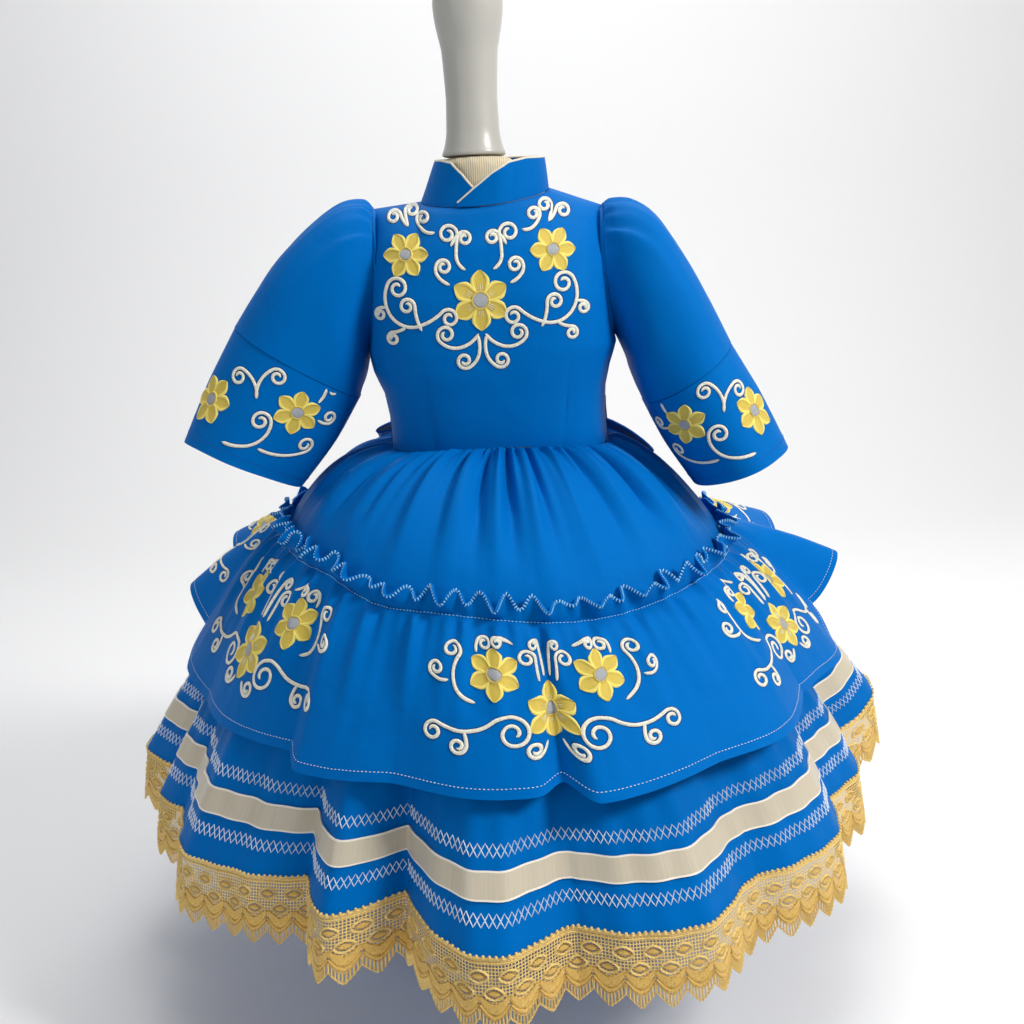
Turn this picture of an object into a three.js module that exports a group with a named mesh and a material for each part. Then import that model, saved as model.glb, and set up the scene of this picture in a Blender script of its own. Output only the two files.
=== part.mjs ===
// A girl's escaramuza dress on a limbless dress form with a round stand.
// Millimetres, +Z up, the front faces -Y, +X is the viewer's right from the front.
// The origin is the centre of the stand's underside. The dress and its form are drawn about
// the waist seam, so their heights are from the waist, and the group lifts them to the stand.
import * as THREE from 'three';
import { mergeVertices } from 'three/addons/utils/BufferGeometryUtils.js';

// ---- driving dimensions ----------------------------------------------------------------
const WALL = 1.8;          // cloth with its turned edges
const THIN_WALL = 1.2;     // satin ribbon
const GAP = 0.3;           // between pieces that are sewn together
const WAIST_HEIGHT = 522;  // of the waist seam above the floor
const WAIST = { frontRise: 8, halfWidth: 102.5, centreX: 6.5 };
const SQUARENESS = 2.5;    // exponent of the waist's rounded section
const CHEST = { z: 140, squareness: 3 };
const SHOULDER_TURN = 123;  // height where the body begins to round over to the shoulders
const ARMHOLE_HOLLOW = 6;  // how far the armhole curves towards the neck
const ARMHOLE_CREASE = 3;  // how far the bodice sinks beside the armhole's seam
// Waves round each tier: how many, how far they drift from even spacing, how often the
// drift repeats, and their height.
const PLEATS = { count: 24, drift: 110, repeats: 3, height: 2.6 };
const HEADING = { count: 30, drift: 60, repeats: 4, height: 5.5 };
const GATHERS = { count: 40, drift: 50, repeats: 5, height: 2.4 };
const LOWER_WAVES = { count: 26, drift: 70, repeats: 3, height: 2.2 };
const HEADING_HEIGHT = 16;
const FLOUNCE_LENGTH = 150;
const LOWER_LENGTH = 245;
const SCALLOPS = 104;
const SCALLOP_DEPTH = 12;
const LACE_HEIGHT = 58;
const LACE_FLARE = 9;
const RIBBON = { fromHem: 37.5, width: 21.5 };
const COLLAR_HEIGHT = 36;
const NECK_HOLE = {
  centreX: 1.5, halfWidth: 58.5, front: 50, back: 45, z: 228, dip: 11, tilt: 4,
};
const COLLAR_TOP = { centreX: 7, centreY: -1, halfWidth: 50, halfDepth: 43, z: 258, dip: 3 };

const BLUE = { color: 0x0569c3, roughness: 0.6, metalness: 0 };
const SATIN = { color: 0xd9cdb4, roughness: 0.35, metalness: 0 };
const GOLD = { color: 0xc79a3c, roughness: 0.75, metalness: 0 };
const JERSEY = { color: 0xd8cbb0, roughness: 0.85, metalness: 0 };
const WHITE = { color: 0xf2f2f0, roughness: 0.4, metalness: 0 };
const STEEL = { color: 0xe6e6e4, roughness: 0.35, metalness: 0.1 };

// Body sections: height, half width, depth of the front and of the back, sideways centre.
const BODY = [
  { z: 0, half: 102.5, front: 80, back: 76, centre: 6.5 },
  { z: 28, half: 101.8, front: 81, back: 77, centre: 5.2 },
  { z: 53, half: 103.5, front: 83, back: 78, centre: 3.5 },
  { z: 73, half: 109.3, front: 86, back: 80, centre: 1.3 },
  { z: 93, half: 115, front: 87, back: 81, centre: 2 },
  { z: 138, half: 111.5, front: 85, back: 82, centre: 1 },
  { z: 183, half: 108, front: 76, back: 76, centre: 1.5 },
  { z: 219, half: 106, front: 62, back: 62, centre: 2 },
];

// Seam between the first tier, the flounce and the lower tier: angle from the front
// towards +X, radius of the cloth's outside, height.
const SEAM = [
  { at: -150, r: 214, z: -80 },
  { at: -100, r: 206, z: -74 },
  { at: -70, r: 205, z: -75 },
  { at: -48, r: 208, z: -79 },
  { at: -20, r: 220, z: -96 },
  { at: 22, r: 222, z: -110 },
  { at: 60, r: 222, z: -101 },
  { at: 100, r: 221, z: -96 },
  { at: 150, r: 218, z: -86 },
];

// Flounce hem: crests and hollows in turn, angle, radius, height.
const FLOUNCE_FOLDS = [
  { at: -177, r: 344, z: -146 },
  { at: -163, r: 318, z: -152 },
  { at: -148, r: 346, z: -134 },
  { at: -134, r: 318, z: -140 },
  { at: -120, r: 346, z: -126 },
  { at: -111, r: 310, z: -146 },
  { at: -102, r: 334, z: -154 },
  { at: -92, r: 300, z: -182 },
  { at: -81, r: 309, z: -200 },
  { at: -67, r: 292, z: -208 },
  { at: -56, r: 296, z: -210 },
  { at: -38, r: 282, z: -209 },
  { at: -33, r: 301, z: -214 },
  { at: -17, r: 293, z: -211 },
  { at: 5, r: 315, z: -211 },
  { at: 9, r: 306, z: -209 },
  { at: 13, r: 327, z: -214 },
  { at: 32, r: 317, z: -210 },
  { at: 48, r: 324, z: -210 },
  { at: 61, r: 302, z: -209 },
  { at: 85, r: 332, z: -212 },
  { at: 94, r: 318, z: -188 },
  { at: 101, r: 364, z: -146 },
  { at: 110, r: 324, z: -150 },
  { at: 122, r: 358, z: -130 },
  { at: 136, r: 324, z: -140 },
  { at: 150, r: 352, z: -134 },
  { at: 166, r: 320, z: -150 },
];

// Lower tier hem, where the lace begins: crests and hollows in turn.
const LOWER_FOLDS = [
  { at: -180, r: 366, z: -296 },
  { at: -170, r: 336, z: -298 },
  { at: -160, r: 364, z: -296 },
  { at: -149, r: 334, z: -298 },
  { at: -138, r: 366, z: -296 },
  { at: -127, r: 336, z: -298 },
  { at: -116, r: 370, z: -298 },
  { at: -105, r: 338, z: -302 },
  { at: -91, r: 370, z: -303 },
  { at: -81, r: 330, z: -306 },
  { at: -73, r: 341, z: -307 },
  { at: -66, r: 327, z: -307 },
  { at: -53, r: 341, z: -307 },
  { at: -33, r: 303, z: -307 },
  { at: -25, r: 335, z: -307 },
  { at: -16, r: 290, z: -307 },
  { at: -3, r: 360, z: -308 },
  { at: 9, r: 334, z: -307 },
  { at: 21, r: 364, z: -308 },
  { at: 36, r: 338, z: -307 },
  { at: 48, r: 358, z: -306 },
  { at: 60, r: 332, z: -304 },
  { at: 70, r: 345, z: -301 },
  { at: 78, r: 328, z: -292 },
  { at: 92, r: 378, z: -268 },
  { at: 105, r: 342, z: -272 },
  { at: 118, r: 378, z: -272 },
  { at: 130, r: 340, z: -276 },
  { at: 142, r: 374, z: -280 },
  { at: 155, r: 338, z: -286 },
  { at: 167, r: 368, z: -292 },
];

// Sleeves, from the armhole to the wrist: outer edge, inner edge, half depth, middle in Y,
// how far the front of the ring sags below the line between the edges, puff of the gathers.
const SLEEVE_LEFT = [
  { outX: -101, outZ: 219, inX: -113, inZ: 90, depth: 43, y: 0, sag: 0, puff: 0 },
  { outX: -110, outZ: 225, inX: -115, inZ: 80, depth: 51, y: -1, sag: 0, puff: 2.2 },
  { outX: -131, outZ: 223, inX: -117, inZ: 70, depth: 56, y: -3, sag: 1, puff: 2.2 },
  { outX: -160, outZ: 205, inX: -119, inZ: 62, depth: 58, y: -6, sag: 1, puff: 1 },
  { outX: -190, outZ: 177, inX: -120, inZ: 57, depth: 57, y: -9, sag: 0, puff: 0 },
  { outX: -214, outZ: 146, inX: -121, inZ: 53, depth: 55, y: -12, sag: -1, puff: 0 },
  { outX: -233, outZ: 119, inX: -123, inZ: 50, depth: 53, y: -15, sag: -2, puff: 0 },
];
const CUFF_LEFT = [
  { outX: -233, outZ: 119, inX: -123, inZ: 50, depth: 53, y: -15, sag: -2, puff: 0 },
  { outX: -258, outZ: 71, inX: -150, inZ: 8, depth: 54, y: -20, sag: -6, puff: 0 },
  { outX: -286, outZ: 15, inX: -184, inZ: -33, depth: 56, y: -25, sag: -11, puff: 0 },
];
const SLEEVE_RIGHT = [
  { outX: 108, outZ: 215, inX: 118, inZ: 99, depth: 43, y: 0, sag: 0, puff: 0 },
  { outX: 117, outZ: 218, inX: 122, inZ: 90, depth: 51, y: -1, sag: 0, puff: 2.2 },
  { outX: 135, outZ: 217, inX: 126, inZ: 81, depth: 57, y: -3, sag: 1, puff: 2.2 },
  { outX: 157, outZ: 203, inX: 129, inZ: 72, depth: 60, y: -6, sag: 2, puff: 1 },
  { outX: 181, outZ: 168, inX: 131, inZ: 61, depth: 61, y: -9, sag: 2, puff: 0 },
  { outX: 203, outZ: 129, inX: 135, inZ: 49, depth: 60, y: -12, sag: 3, puff: 0 },
  { outX: 223, outZ: 89, inX: 142, inZ: 36, depth: 59, y: -15, sag: 3, puff: 0 },
];
const CUFF_RIGHT = [
  { outX: 223, outZ: 89, inX: 142, inZ: 36, depth: 59, y: -15, sag: 3, puff: 0 },
  { outX: 247, outZ: 44, inX: 163, inZ: -4, depth: 60, y: -20, sag: 1, puff: 0 },
  { outX: 274, outZ: -9, inX: 189, inZ: -43, depth: 61, y: -25, sag: -2, puff: 0 },
];

// Height of the collar's free edge round each half, angle from the front towards +X.
const COLLAR_LEFT = [
  { at: -180, height: 36 },
  { at: -60, height: 36 },
  { at: -42, height: 34 },
  { at: -26, height: 25 },
  { at: -12, height: 14 },
  { at: -2, height: 3 },
];
const COLLAR_RIGHT = [
  { at: -24, height: 3 },
  { at: -12, height: 13 },
  { at: 4, height: 25 },
  { at: 20, height: 33 },
  { at: 40, height: 36 },
  { at: 180, height: 36 },
];

// ---- small maths -----------------------------------------------------------------------
const { sin, cos, abs, sign, hypot, min, max, PI } = Math;
const RAD = PI / 180;
const mix = (a, b, t) => a + (b - a) * t;
const vec = (x, y, z) => new THREE.Vector3(x, y, z);
const span = (count, from = 0, to = 1) => (
  Array.from({ length: count + 1 }, (_, i) => mix(from, to, i / count))
);

// Rows of a round table on both sides of an angle, and how far between them it lies.
function bracket(table, degrees) {
  const first = table[0].at;
  const angle = first + ((((degrees - first) % 360) + 360) % 360);
  const next = table.findIndex((row) => row.at > angle);
  const low = next < 0 ? table.at(-1) : table[next - 1];
  const high = next < 0 ? table[0] : table[next];
  const width = (high.at - low.at + 360) % 360;
  return [low, high, (angle - low.at) / width];
}

// Even, rounded change from row to row.
function smooth(table, key, degrees) {
  const [low, high, t] = bracket(table, degrees);
  return mix(low[key], high[key], (1 - cos(PI * t)) / 2);
}

// Full crests and pinched hollows, as gathered cloth falls.
const PINCH = 0.62;

function fold(table, key, degrees) {
  const [low, high, t] = bracket(table, degrees);
  const rising = high[key] > low[key];
  const lift = rising ? sin(t * PI / 2) : 1 - sin((1 - t) * PI / 2);
  return mix(low[key], high[key], mix((1 - cos(PI * t)) / 2, lift, PINCH));
}

// Value of a body section at a height.
function body(key, z) {
  const level = min(max(z, BODY[0].z), BODY.at(-1).z);
  const next = max(1, BODY.findIndex((row) => row.z >= level));
  const low = BODY[next - 1];
  const high = BODY[next];
  return mix(low[key], high[key], (level - low.z) / (high.z - low.z));
}

const round = (q, power) => max(0, 1 - abs(q) ** power) ** (1 / power);
const squareness = (z) => (
  mix(SQUARENESS, CHEST.squareness, min(1, max(0, z / CHEST.z)))
);
const rippled = (waves, degrees) => waves.height * cos(
  (waves.count * degrees + waves.drift * sin(waves.repeats * degrees * RAD)) * RAD,
);
const polar = (degrees, r, z) => vec(r * sin(degrees * RAD), -r * cos(degrees * RAD), z);

// ---- walls -----------------------------------------------------------------------------
// Outward directions at the points of a grid whose rows run downwards and whose columns
// run anticlockwise seen from above.
function outward(grid, closed) {
  const last = grid[0].length - 1;
  return grid.map((row, j) => row.map((_, i) => {
    const left = closed ? row[(i + last) % (last + 1)] : row[max(i - 1, 0)];
    const right = closed ? row[(i + 1) % (last + 1)] : row[min(i + 1, last)];
    const up = grid[max(j - 1, 0)][i];
    const down = grid[min(j + 1, grid.length - 1)][i];
    const along = right.clone().sub(left);
    return down.clone().sub(up).cross(along).normalize();
  }));
}

const moved = (grid, ways, distance) => (
  grid.map((row, j) => row.map((p, i) => p.clone().addScaledVector(ways[j][i], distance)))
);

// Closed body between an outer and an inner grid.
function shell(outer, inner, closed) {
  const rows = outer.length;
  const columns = outer[0].length;
  const points = [...outer.flat(), ...inner.flat()];
  const at = (side, j, i) => side * rows * columns + j * columns + (i % columns);
  const faces = [];
  const quad = (a, b, c, d) => faces.push(a, b, c, a, c, d);
  const wide = closed ? columns : columns - 1;
  for (let i = 0; i < wide; i += 1) {
    for (let j = 0; j < rows - 1; j += 1) {
      quad(at(0, j, i), at(0, j + 1, i), at(0, j + 1, i + 1), at(0, j, i + 1));
      quad(at(1, j, i), at(1, j, i + 1), at(1, j + 1, i + 1), at(1, j + 1, i));
    }
    quad(at(0, 0, i), at(0, 0, i + 1), at(1, 0, i + 1), at(1, 0, i));
    const low = rows - 1;
    quad(at(0, low, i + 1), at(0, low, i), at(1, low, i), at(1, low, i + 1));
  }
  for (let j = 0; !closed && j < rows - 1; j += 1) {
    const end = columns - 1;
    quad(at(0, j + 1, 0), at(0, j, 0), at(1, j, 0), at(1, j + 1, 0));
    quad(at(0, j, end), at(0, j + 1, end), at(1, j + 1, end), at(1, j, end));
  }
  return solid(points, faces);
}

function solid(points, faces) {
  const geometry = new THREE.BufferGeometry();
  const flat = points.flatMap((p) => [p.x, p.y, p.z]);
  geometry.setAttribute('position', new THREE.Float32BufferAttribute(flat, 3));
  geometry.setIndex(faces);
  geometry.computeVertexNormals();
  return geometry;
}

// Cloth wall inwards from its outside; trim changes a direction at a sewn edge.
function wall(grid, closed, thickness = WALL, trim = (way) => way) {
  const ways = outward(grid, closed).map((row, j) => row.map((way, i) => trim(way, i, j)));
  return shell(grid, moved(grid, ways, -thickness), closed);
}

// Makes the wall of chosen rows of a ring end level, as at a butted seam.
const level = (...rows) => (way, i, j) => (
  rows.includes(j) ? vec(way.x, way.y, 0).normalize() : way
);

// ---- bodice ----------------------------------------------------------------------------
// Point of the waist seam at an angle.
function waist(degrees) {
  const x = sin(degrees * RAD);
  const y = cos(degrees * RAD);
  const depth = y > 0 ? BODY[0].front : BODY[0].back;
  const r = ((abs(x) / WAIST.halfWidth) ** SQUARENESS + (abs(y) / depth) ** SQUARENESS)
    ** (-1 / SQUARENESS);
  const across = r * x / WAIST.halfWidth;
  const rise = y > 0 ? WAIST.frontRise * (1 - across * across) : 0;
  return vec(WAIST.centreX + r * x, -r * y, rise);
}

// Point of an armhole: 0 at the shoulder, 90 in front, 180 under the arm.
function armhole(sleeve, degrees) {
  const top = sleeve[0];
  const lengthwise = (1 + cos(degrees * RAD)) / 2;
  const hollow = -sign(top.outX) * ARMHOLE_HOLLOW * sin(degrees * RAD) ** 2;
  return vec(
    mix(top.inX, top.outX, lengthwise) + hollow,
    top.y - top.depth * sin(degrees * RAD),
    mix(top.inZ, top.outZ, lengthwise),
  );
}

// Point of the neck hole at an angle from the front.
function neckHole(degrees) {
  const y = cos(degrees * RAD);
  const depth = y > 0 ? NECK_HOLE.front : NECK_HOLE.back;
  const x = NECK_HOLE.centreX + NECK_HOLE.halfWidth * sin(degrees * RAD);
  const tilt = NECK_HOLE.tilt * sin(degrees * RAD);
  return vec(x, -depth * y, NECK_HOLE.z - NECK_HOLE.dip * y + tilt);
}

const SIDE_LIMIT = 0.985;   // how near the side seam the armhole's columns may come
const ARMHOLE_STEPS = 6;
const SHOULDER_STEPS = 3;
const NECK_STEPS = 8;
const BODICE_LEVELS = [1, 0.98, 0.93, 0.84, 0.72, 0.56, 0.3, 0];

// Upper edge of one face of the body from its left side seam to its right one.
function upperEdge(face) {
  const edge = [];
  for (const t of span(ARMHOLE_STEPS, 180, 0)) edge.push(armhole(SLEEVE_LEFT, face * t));
  const tipLeft = edge.at(-1);
  const neckLeft = neckHole(-90);
  const neckRight = neckHole(90);
  const tipRight = armhole(SLEEVE_RIGHT, 0);
  for (const t of span(SHOULDER_STEPS).slice(1, -1)) edge.push(tipLeft.clone().lerp(neckLeft, t));
  for (const t of span(NECK_STEPS, -90, 90)) edge.push(neckHole(face > 0 ? t : 180 - t));
  for (const t of span(SHOULDER_STEPS).slice(1, -1)) edge.push(neckRight.clone().lerp(tipRight, t));
  for (const t of span(ARMHOLE_STEPS, 0, 180)) edge.push(armhole(SLEEVE_RIGHT, face * t));
  return edge;
}

// One meridian of the bodice between the waist and a point of the upper edge.
function meridian(top, waistAngle, face, levels, nearArmhole) {
  const low = waist(face > 0 ? waistAngle : 180 - waistAngle);
  const onSide = abs(waistAngle) > 89.9;
  const qLow = (low.x - WAIST.centreX) / WAIST.halfWidth;
  const across = (top.x - body('centre', top.z)) / body('half', top.z);
  const qTop = onSide ? sign(waistAngle) : min(SIDE_LIMIT, max(-SIDE_LIMIT, across));
  const short = top.x - body('centre', top.z) - body('half', top.z) * qTop;
  const turn = min(SHOULDER_TURN, mix(low.z, top.z, 0.55));
  return levels.map((v) => {
    const z = mix(low.z, top.z, v);
    const q = mix(qLow, qTop, v);
    const crease = v < 1 ? nearArmhole * ARMHOLE_CREASE * v ** 6 * sign(qTop) : 0;
    const x = body('centre', z) + body('half', z) * q + short * v * v - crease;
    const depth = -face * body(face > 0 ? 'front' : 'back', z) * round(q, squareness(z));
    const keep = round(max(0, (z - turn) / (top.z - turn)), 2.2);
    return vec(x, mix(top.y, depth, keep), z);
  });
}

function bodiceGrid(face, levels = BODICE_LEVELS) {
  const edge = upperEdge(face);
  const last = edge.length - 1;
  const columns = edge.map((top, i) => {
    const fromSide = min(i, last - i);
    const inShoulder = 1 - (fromSide - ARMHOLE_STEPS) / SHOULDER_STEPS;
    const nearArmhole = min(1, fromSide, max(0, inShoulder));
    return meridian(top, mix(-90, 90, i / last), face, levels, nearArmhole);
  });
  return levels.map((_, j) => columns.map((column) => column[j]));
}

// Keeps the wall of a sewn edge square to the side and shoulder seams.
function squareToSeam(way, onSeam) {
  return onSeam ? vec(way.x, 0, way.z).normalize() : way;
}

function bodicePanel(face, from, to) {
  const slack = vec(0, -face * GAP / 2, 0);
  const grid = bodiceGrid(face).map((row) => row.map((p) => p.clone().add(slack)));
  const width = grid[0].length;
  const ordered = face > 0 ? grid : grid.map((row) => [...row].reverse());
  const cut = ordered.map((row) => row.slice(from, to + 1));
  const onSeam = (i, j) => {
    const column = i + from;
    const side = column === 0 || column === width - 1;
    const shoulder = j === 0 && column >= ARMHOLE_STEPS && column <= width - 1 - ARMHOLE_STEPS
      && !(column > ARMHOLE_STEPS + SHOULDER_STEPS
        && column < width - 1 - ARMHOLE_STEPS - SHOULDER_STEPS);
    return side || shoulder;
  };
  return { cut, trim: (way, i, j) => squareToSeam(way, onSeam(i, j)) };
}

const BODICE_COLUMNS = 2 * (ARMHOLE_STEPS + SHOULDER_STEPS) + NECK_STEPS;

function bodiceFront() {
  const { cut, trim } = bodicePanel(1, 0, BODICE_COLUMNS);
  return wall(cut, false, WALL, trim);
}

// Half of the back, from its side seam to the closing in the middle.
function bodiceBack(side) {
  const half = BODICE_COLUMNS / 2;
  const { cut, trim } = bodicePanel(-1, side > 0 ? 0 : half, side > 0 ? half : BODICE_COLUMNS);
  const middle = side > 0 ? half : 0;
  for (const row of cut) row[middle].x += side * GAP / 2;
  const square = (way, i, j) => (
    i === middle ? vec(0, way.y, way.z).normalize() : trim(way, i, j)
  );
  return wall(cut, false, WALL, square);
}

// ---- collar ----------------------------------------------------------------------------
function collarPoint(degrees, height, lift) {
  const foot = neckHole(degrees);
  const top = vec(
    COLLAR_TOP.centreX + COLLAR_TOP.halfWidth * sin(degrees * RAD),
    COLLAR_TOP.centreY - COLLAR_TOP.halfDepth * cos(degrees * RAD),
    COLLAR_TOP.z - COLLAR_TOP.dip * cos(degrees * RAD),
  );
  const point = foot.lerp(top, height / COLLAR_HEIGHT);
  const out = vec(sin(degrees * RAD), -cos(degrees * RAD), 0);
  return point.add(vec(0, 0, GAP * 2)).addScaledVector(out, lift);
}

// The right half steps outwards where it laps over the left one: degrees where the step
// ends, and over which it comes up.
const LAP = { ends: 25, slope: 15 };

function collar(table, lap) {
  const last = table.length - 1;
  const angles = span(18, table[0].at, table[last].at);
  const edge = (t) => {
    const next = max(1, table.findIndex((row) => row.at >= t - 1e-9));
    const low = table[next - 1];
    const high = table[next];
    return mix(low.height, high.height, (t - low.at) / (high.at - low.at));
  };
  const trimmed = angles.map((t) => (abs(abs(t) - 180) < 1e-6 ? t - sign(t) * 0.2 : t));
  const grid = [1, 0.5, 0].map((share) => trimmed.map((t) => {
    const lift = lap * min(1, max(0, (LAP.ends - t) / LAP.slope));
    return collarPoint(t, edge(t) * share, lift);
  }));
  return wall(grid, false);
}

// ---- sleeves ---------------------------------------------------------------------------
const SLEEVE_COLUMNS = 24;

// Point of a sleeve's ring: 0 on the outer edge, 90 in front, 180 on the inner edge.
function sleevePoint(ring, degrees) {
  const lengthwise = (1 + cos(degrees * RAD)) / 2;
  const front = sin(degrees * RAD);
  const crown = max(0, cos(degrees * RAD)) ** 0.5;
  const puff = ring.puff * crown * (degrees % (720 / SLEEVE_COLUMNS) === 0 ? 1 : -1);
  const across = vec(ring.outX - ring.inX, 0, ring.outZ - ring.inZ).normalize();
  const point = vec(
    mix(ring.inX, ring.outX, lengthwise),
    ring.y - ring.depth * sign(front) * abs(front) ** 0.9,
    mix(ring.inZ, ring.outZ, lengthwise) - ring.sag * (front > 0 ? front : -0.3 * front),
  );
  return point.addScaledVector(across, puff);
}

// Rings from the upper end down; start leaves the sewing gap along the sleeve. The head of a
// sleeve follows the bodice's armhole, which has half as many corners.
function sleeve(rings, start, head = false) {
  const side = sign(rings[0].outX);
  const step = 360 / SLEEVE_COLUMNS;
  const turns = span(SLEEVE_COLUMNS, 0, 360).slice(0, -1);
  const grid = rings.map((ring, j) => turns.map((t, i) => {
    const place = (degrees) => (
      head && j === 0 ? armhole(rings, -side * degrees) : sleevePoint(ring, -side * degrees)
    );
    const between = head && j === 0 && i % 2 === 1;
    const point = between ? place(t - step).lerp(place(t + step), 0.5) : place(t);
    return j === 0 ? point.add(start) : point;
  }));
  return wall(grid, true);
}

// ---- skirt -----------------------------------------------------------------------------
const seam = (degrees, out = 0, up = 0) => (
  polar(degrees, smooth(SEAM, 'r', degrees) + out, smooth(SEAM, 'z', degrees) + up)
);

// First tier: a dome of soft pleats that fade towards the seam.
const DOME = { roundRight: 1.6, roundLeft: 2.3 };   // how late the first tier falls
const SEAM_ALLOWANCE = 2;
const PLEAT_FADE = { least: 0.2, reach: 1.15, power: 0.8, atWaist: 0.3, lift: 0.9 };

const domeFall = (degrees, v) => (
  v ** mix(DOME.roundLeft, DOME.roundRight, (1 + sin(degrees * RAD)) / 2)
);

function firstTier(degrees, v) {
  const top = waist(degrees).add(vec(0, 0, -GAP));
  const low = seam(degrees, 0, -SEAM_ALLOWANCE);
  const share = PLEAT_FADE.least + sin(PI * min(1, v * PLEAT_FADE.reach)) ** PLEAT_FADE.power;
  const out = vec(sin(degrees * RAD), -cos(degrees * RAD), PLEAT_FADE.lift * (1 - v));
  const point = vec(
    mix(top.x, low.x, v),
    mix(top.y, low.y, v),
    mix(top.z, low.z, domeFall(degrees, v)),
  );
  const onEdge = v === 1 ? 0 : (v === 0 ? PLEAT_FADE.atWaist : 1);
  return point.addScaledVector(out, rippled(PLEATS, degrees) * share * onEdge);
}

// Flounce: length along the strip from the heading's edge (negative) to the hem.
const FLOUNCE_FALL = { out: 0.86, down: 1.12, gatherReach: 1.6, gatherPower: 0.7 };

function flounce(degrees, along) {
  const r = smooth(SEAM, 'r', degrees) + WALL - GAP * 1.6;
  const z = smooth(SEAM, 'z', degrees);
  if (along < 0) {
    const share = -along / HEADING_HEIGHT;
    return polar(degrees, r + share * (1 + rippled(HEADING, degrees)), z - along);
  }
  const v = along / FLOUNCE_LENGTH;
  const hem = fold(FLOUNCE_FOLDS, 'r', degrees);
  const low = smooth(FLOUNCE_FOLDS, 'z', degrees);
  const share = sin(PI * min(1, v * FLOUNCE_FALL.gatherReach)) ** FLOUNCE_FALL.gatherPower;
  return polar(
    degrees,
    mix(r, hem, v ** FLOUNCE_FALL.out) + rippled(GATHERS, degrees) * share,
    mix(z, low, v ** FLOUNCE_FALL.down),
  );
}

// Lower tier: from the seam down to the lace.
const LOWER_SLACK = 0.05;   // how much fuller than straight the tier falls

function lowerTier(degrees, v) {
  const top = smooth(SEAM, 'r', degrees);
  const high = smooth(SEAM, 'z', degrees) - SEAM_ALLOWANCE - GAP;
  const hem = fold(LOWER_FOLDS, 'r', degrees);
  const low = smooth(LOWER_FOLDS, 'z', degrees);
  const r = mix(top, hem, v * (1 + LOWER_SLACK - LOWER_SLACK * v * v));
  return polar(degrees, r + rippled(LOWER_WAVES, degrees) * v, mix(high, low, v));
}

const ringGrid = (columns, levels, point) => (
  levels.map((v) => span(columns, -180, 180).slice(0, -1).map((t) => point(t, v)))
);

const SKIRT_COLUMNS = 96;
const SKIRT_LEVELS = [0, 0.12, 0.34, 0.66, 1];
const FLOUNCE_COLUMNS = 120;
const FLOUNCE_LEVELS = [-HEADING_HEIGHT, 0, 12, 45, 95, FLOUNCE_LENGTH];
const LOWER_LEVELS = [
  0,
  0.5,
  1 - (RIBBON.fromHem + RIBBON.width) / LOWER_LENGTH,
  1 - RIBBON.fromHem / LOWER_LENGTH,
  1,
];
const lowerGrid = ringGrid(SCALLOPS, LOWER_LEVELS, lowerTier);

const skirtTier = () => (
  wall(
    ringGrid(SKIRT_COLUMNS, SKIRT_LEVELS, firstTier), true, WALL,
    level(0, SKIRT_LEVELS.length - 1),
  )
);

// The ribbon lies on the lower tier, so it is made of that tier's points moved out.
function ribbonBand() {
  const ways = outward(lowerGrid, true).slice(2, 4);
  const rows = lowerGrid.slice(2, 4);
  const outer = moved(rows, ways, GAP * 1.4 + THIN_WALL);
  const inner = moved(rows, ways, GAP * 1.4);
  return shell(outer, inner, true);
}

// Lace edge: hangs from the lower tier's hem; one fan-shaped scallop a column.
function laceEdge() {
  const top = lowerGrid.at(-1).map((p) => p.clone().add(vec(0, 0, -GAP)));
  const count = top.length;
  const hang = (p, drop) => {
    const share = drop / LACE_HEIGHT;
    const r = hypot(p.x, p.y);
    const grown = (r + LACE_FLARE * share) / r;
    return vec(p.x * grown, p.y * grown, p.z - drop);
  };
  const hollows = top.map((p) => hang(p, LACE_HEIGHT - SCALLOP_DEPTH));
  const tips = top.map((p, i) => hang(p.clone().lerp(top[(i + 1) % count], 0.5), LACE_HEIGHT));
  const grid = [top, hollows];
  const ways = outward(grid, true).map((row, j) => row.map((way, i) => level(0)(way, i, j)));
  const tipWays = ways[1].map((way, i) => way.clone().add(ways[1][(i + 1) % count]).normalize());
  const inward = (points, directions) => (
    points.map((p, i) => p.clone().addScaledVector(directions[i], -THIN_WALL))
  );
  const rings = [
    top, hollows, tips,
    inward(top, ways[0]), inward(hollows, ways[1]), inward(tips, tipWays),
  ];
  const faces = [];
  const triangle = (a, b, c) => faces.push(a, b, c);
  const quad = (a, b, c, d) => faces.push(a, b, c, a, c, d);
  for (let i = 0; i < count; i += 1) {
    const j = (i + 1) % count;
    const [t, h, p, ti, hi, pi] = rings.map((_, ring) => ring * count);
    triangle(t + i, h + i, p + i);
    triangle(t + i, p + i, t + j);
    triangle(t + j, p + i, h + j);
    triangle(ti + i, pi + i, hi + i);
    triangle(ti + i, ti + j, pi + i);
    triangle(ti + j, hi + j, pi + i);
    quad(t + i, t + j, ti + j, ti + i);
    quad(h + i, hi + i, pi + i, p + i);
    quad(p + i, pi + i, hi + j, h + j);
  }
  return solid(rings.flat(), faces);
}

// ---- sash and bow ----------------------------------------------------------------------
const SASH = { from: 98, to: 170, height: 34, knotHeight: 22, above: 3, lift: 2.4 };
const KNOT = { x: 4, y: 92, z: 16, halfWidth: 13, halfDepth: 11, halfHeight: 16 };

// Point of the bodice's back, across from -1 to 1 between the side seams.
function backPoint(across, z, out) {
  const power = squareness(z);
  const x = body('centre', z) + body('half', z) * across;
  const y = body('back', z) * round(across, power);
  const way = vec(
    sign(across) * abs(across) ** (power - 1) / body('half', z),
    round(across, power) ** (power - 1) / body('back', z),
    0,
  ).normalize();
  return vec(x, y, z).addScaledVector(way, out);
}

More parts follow.
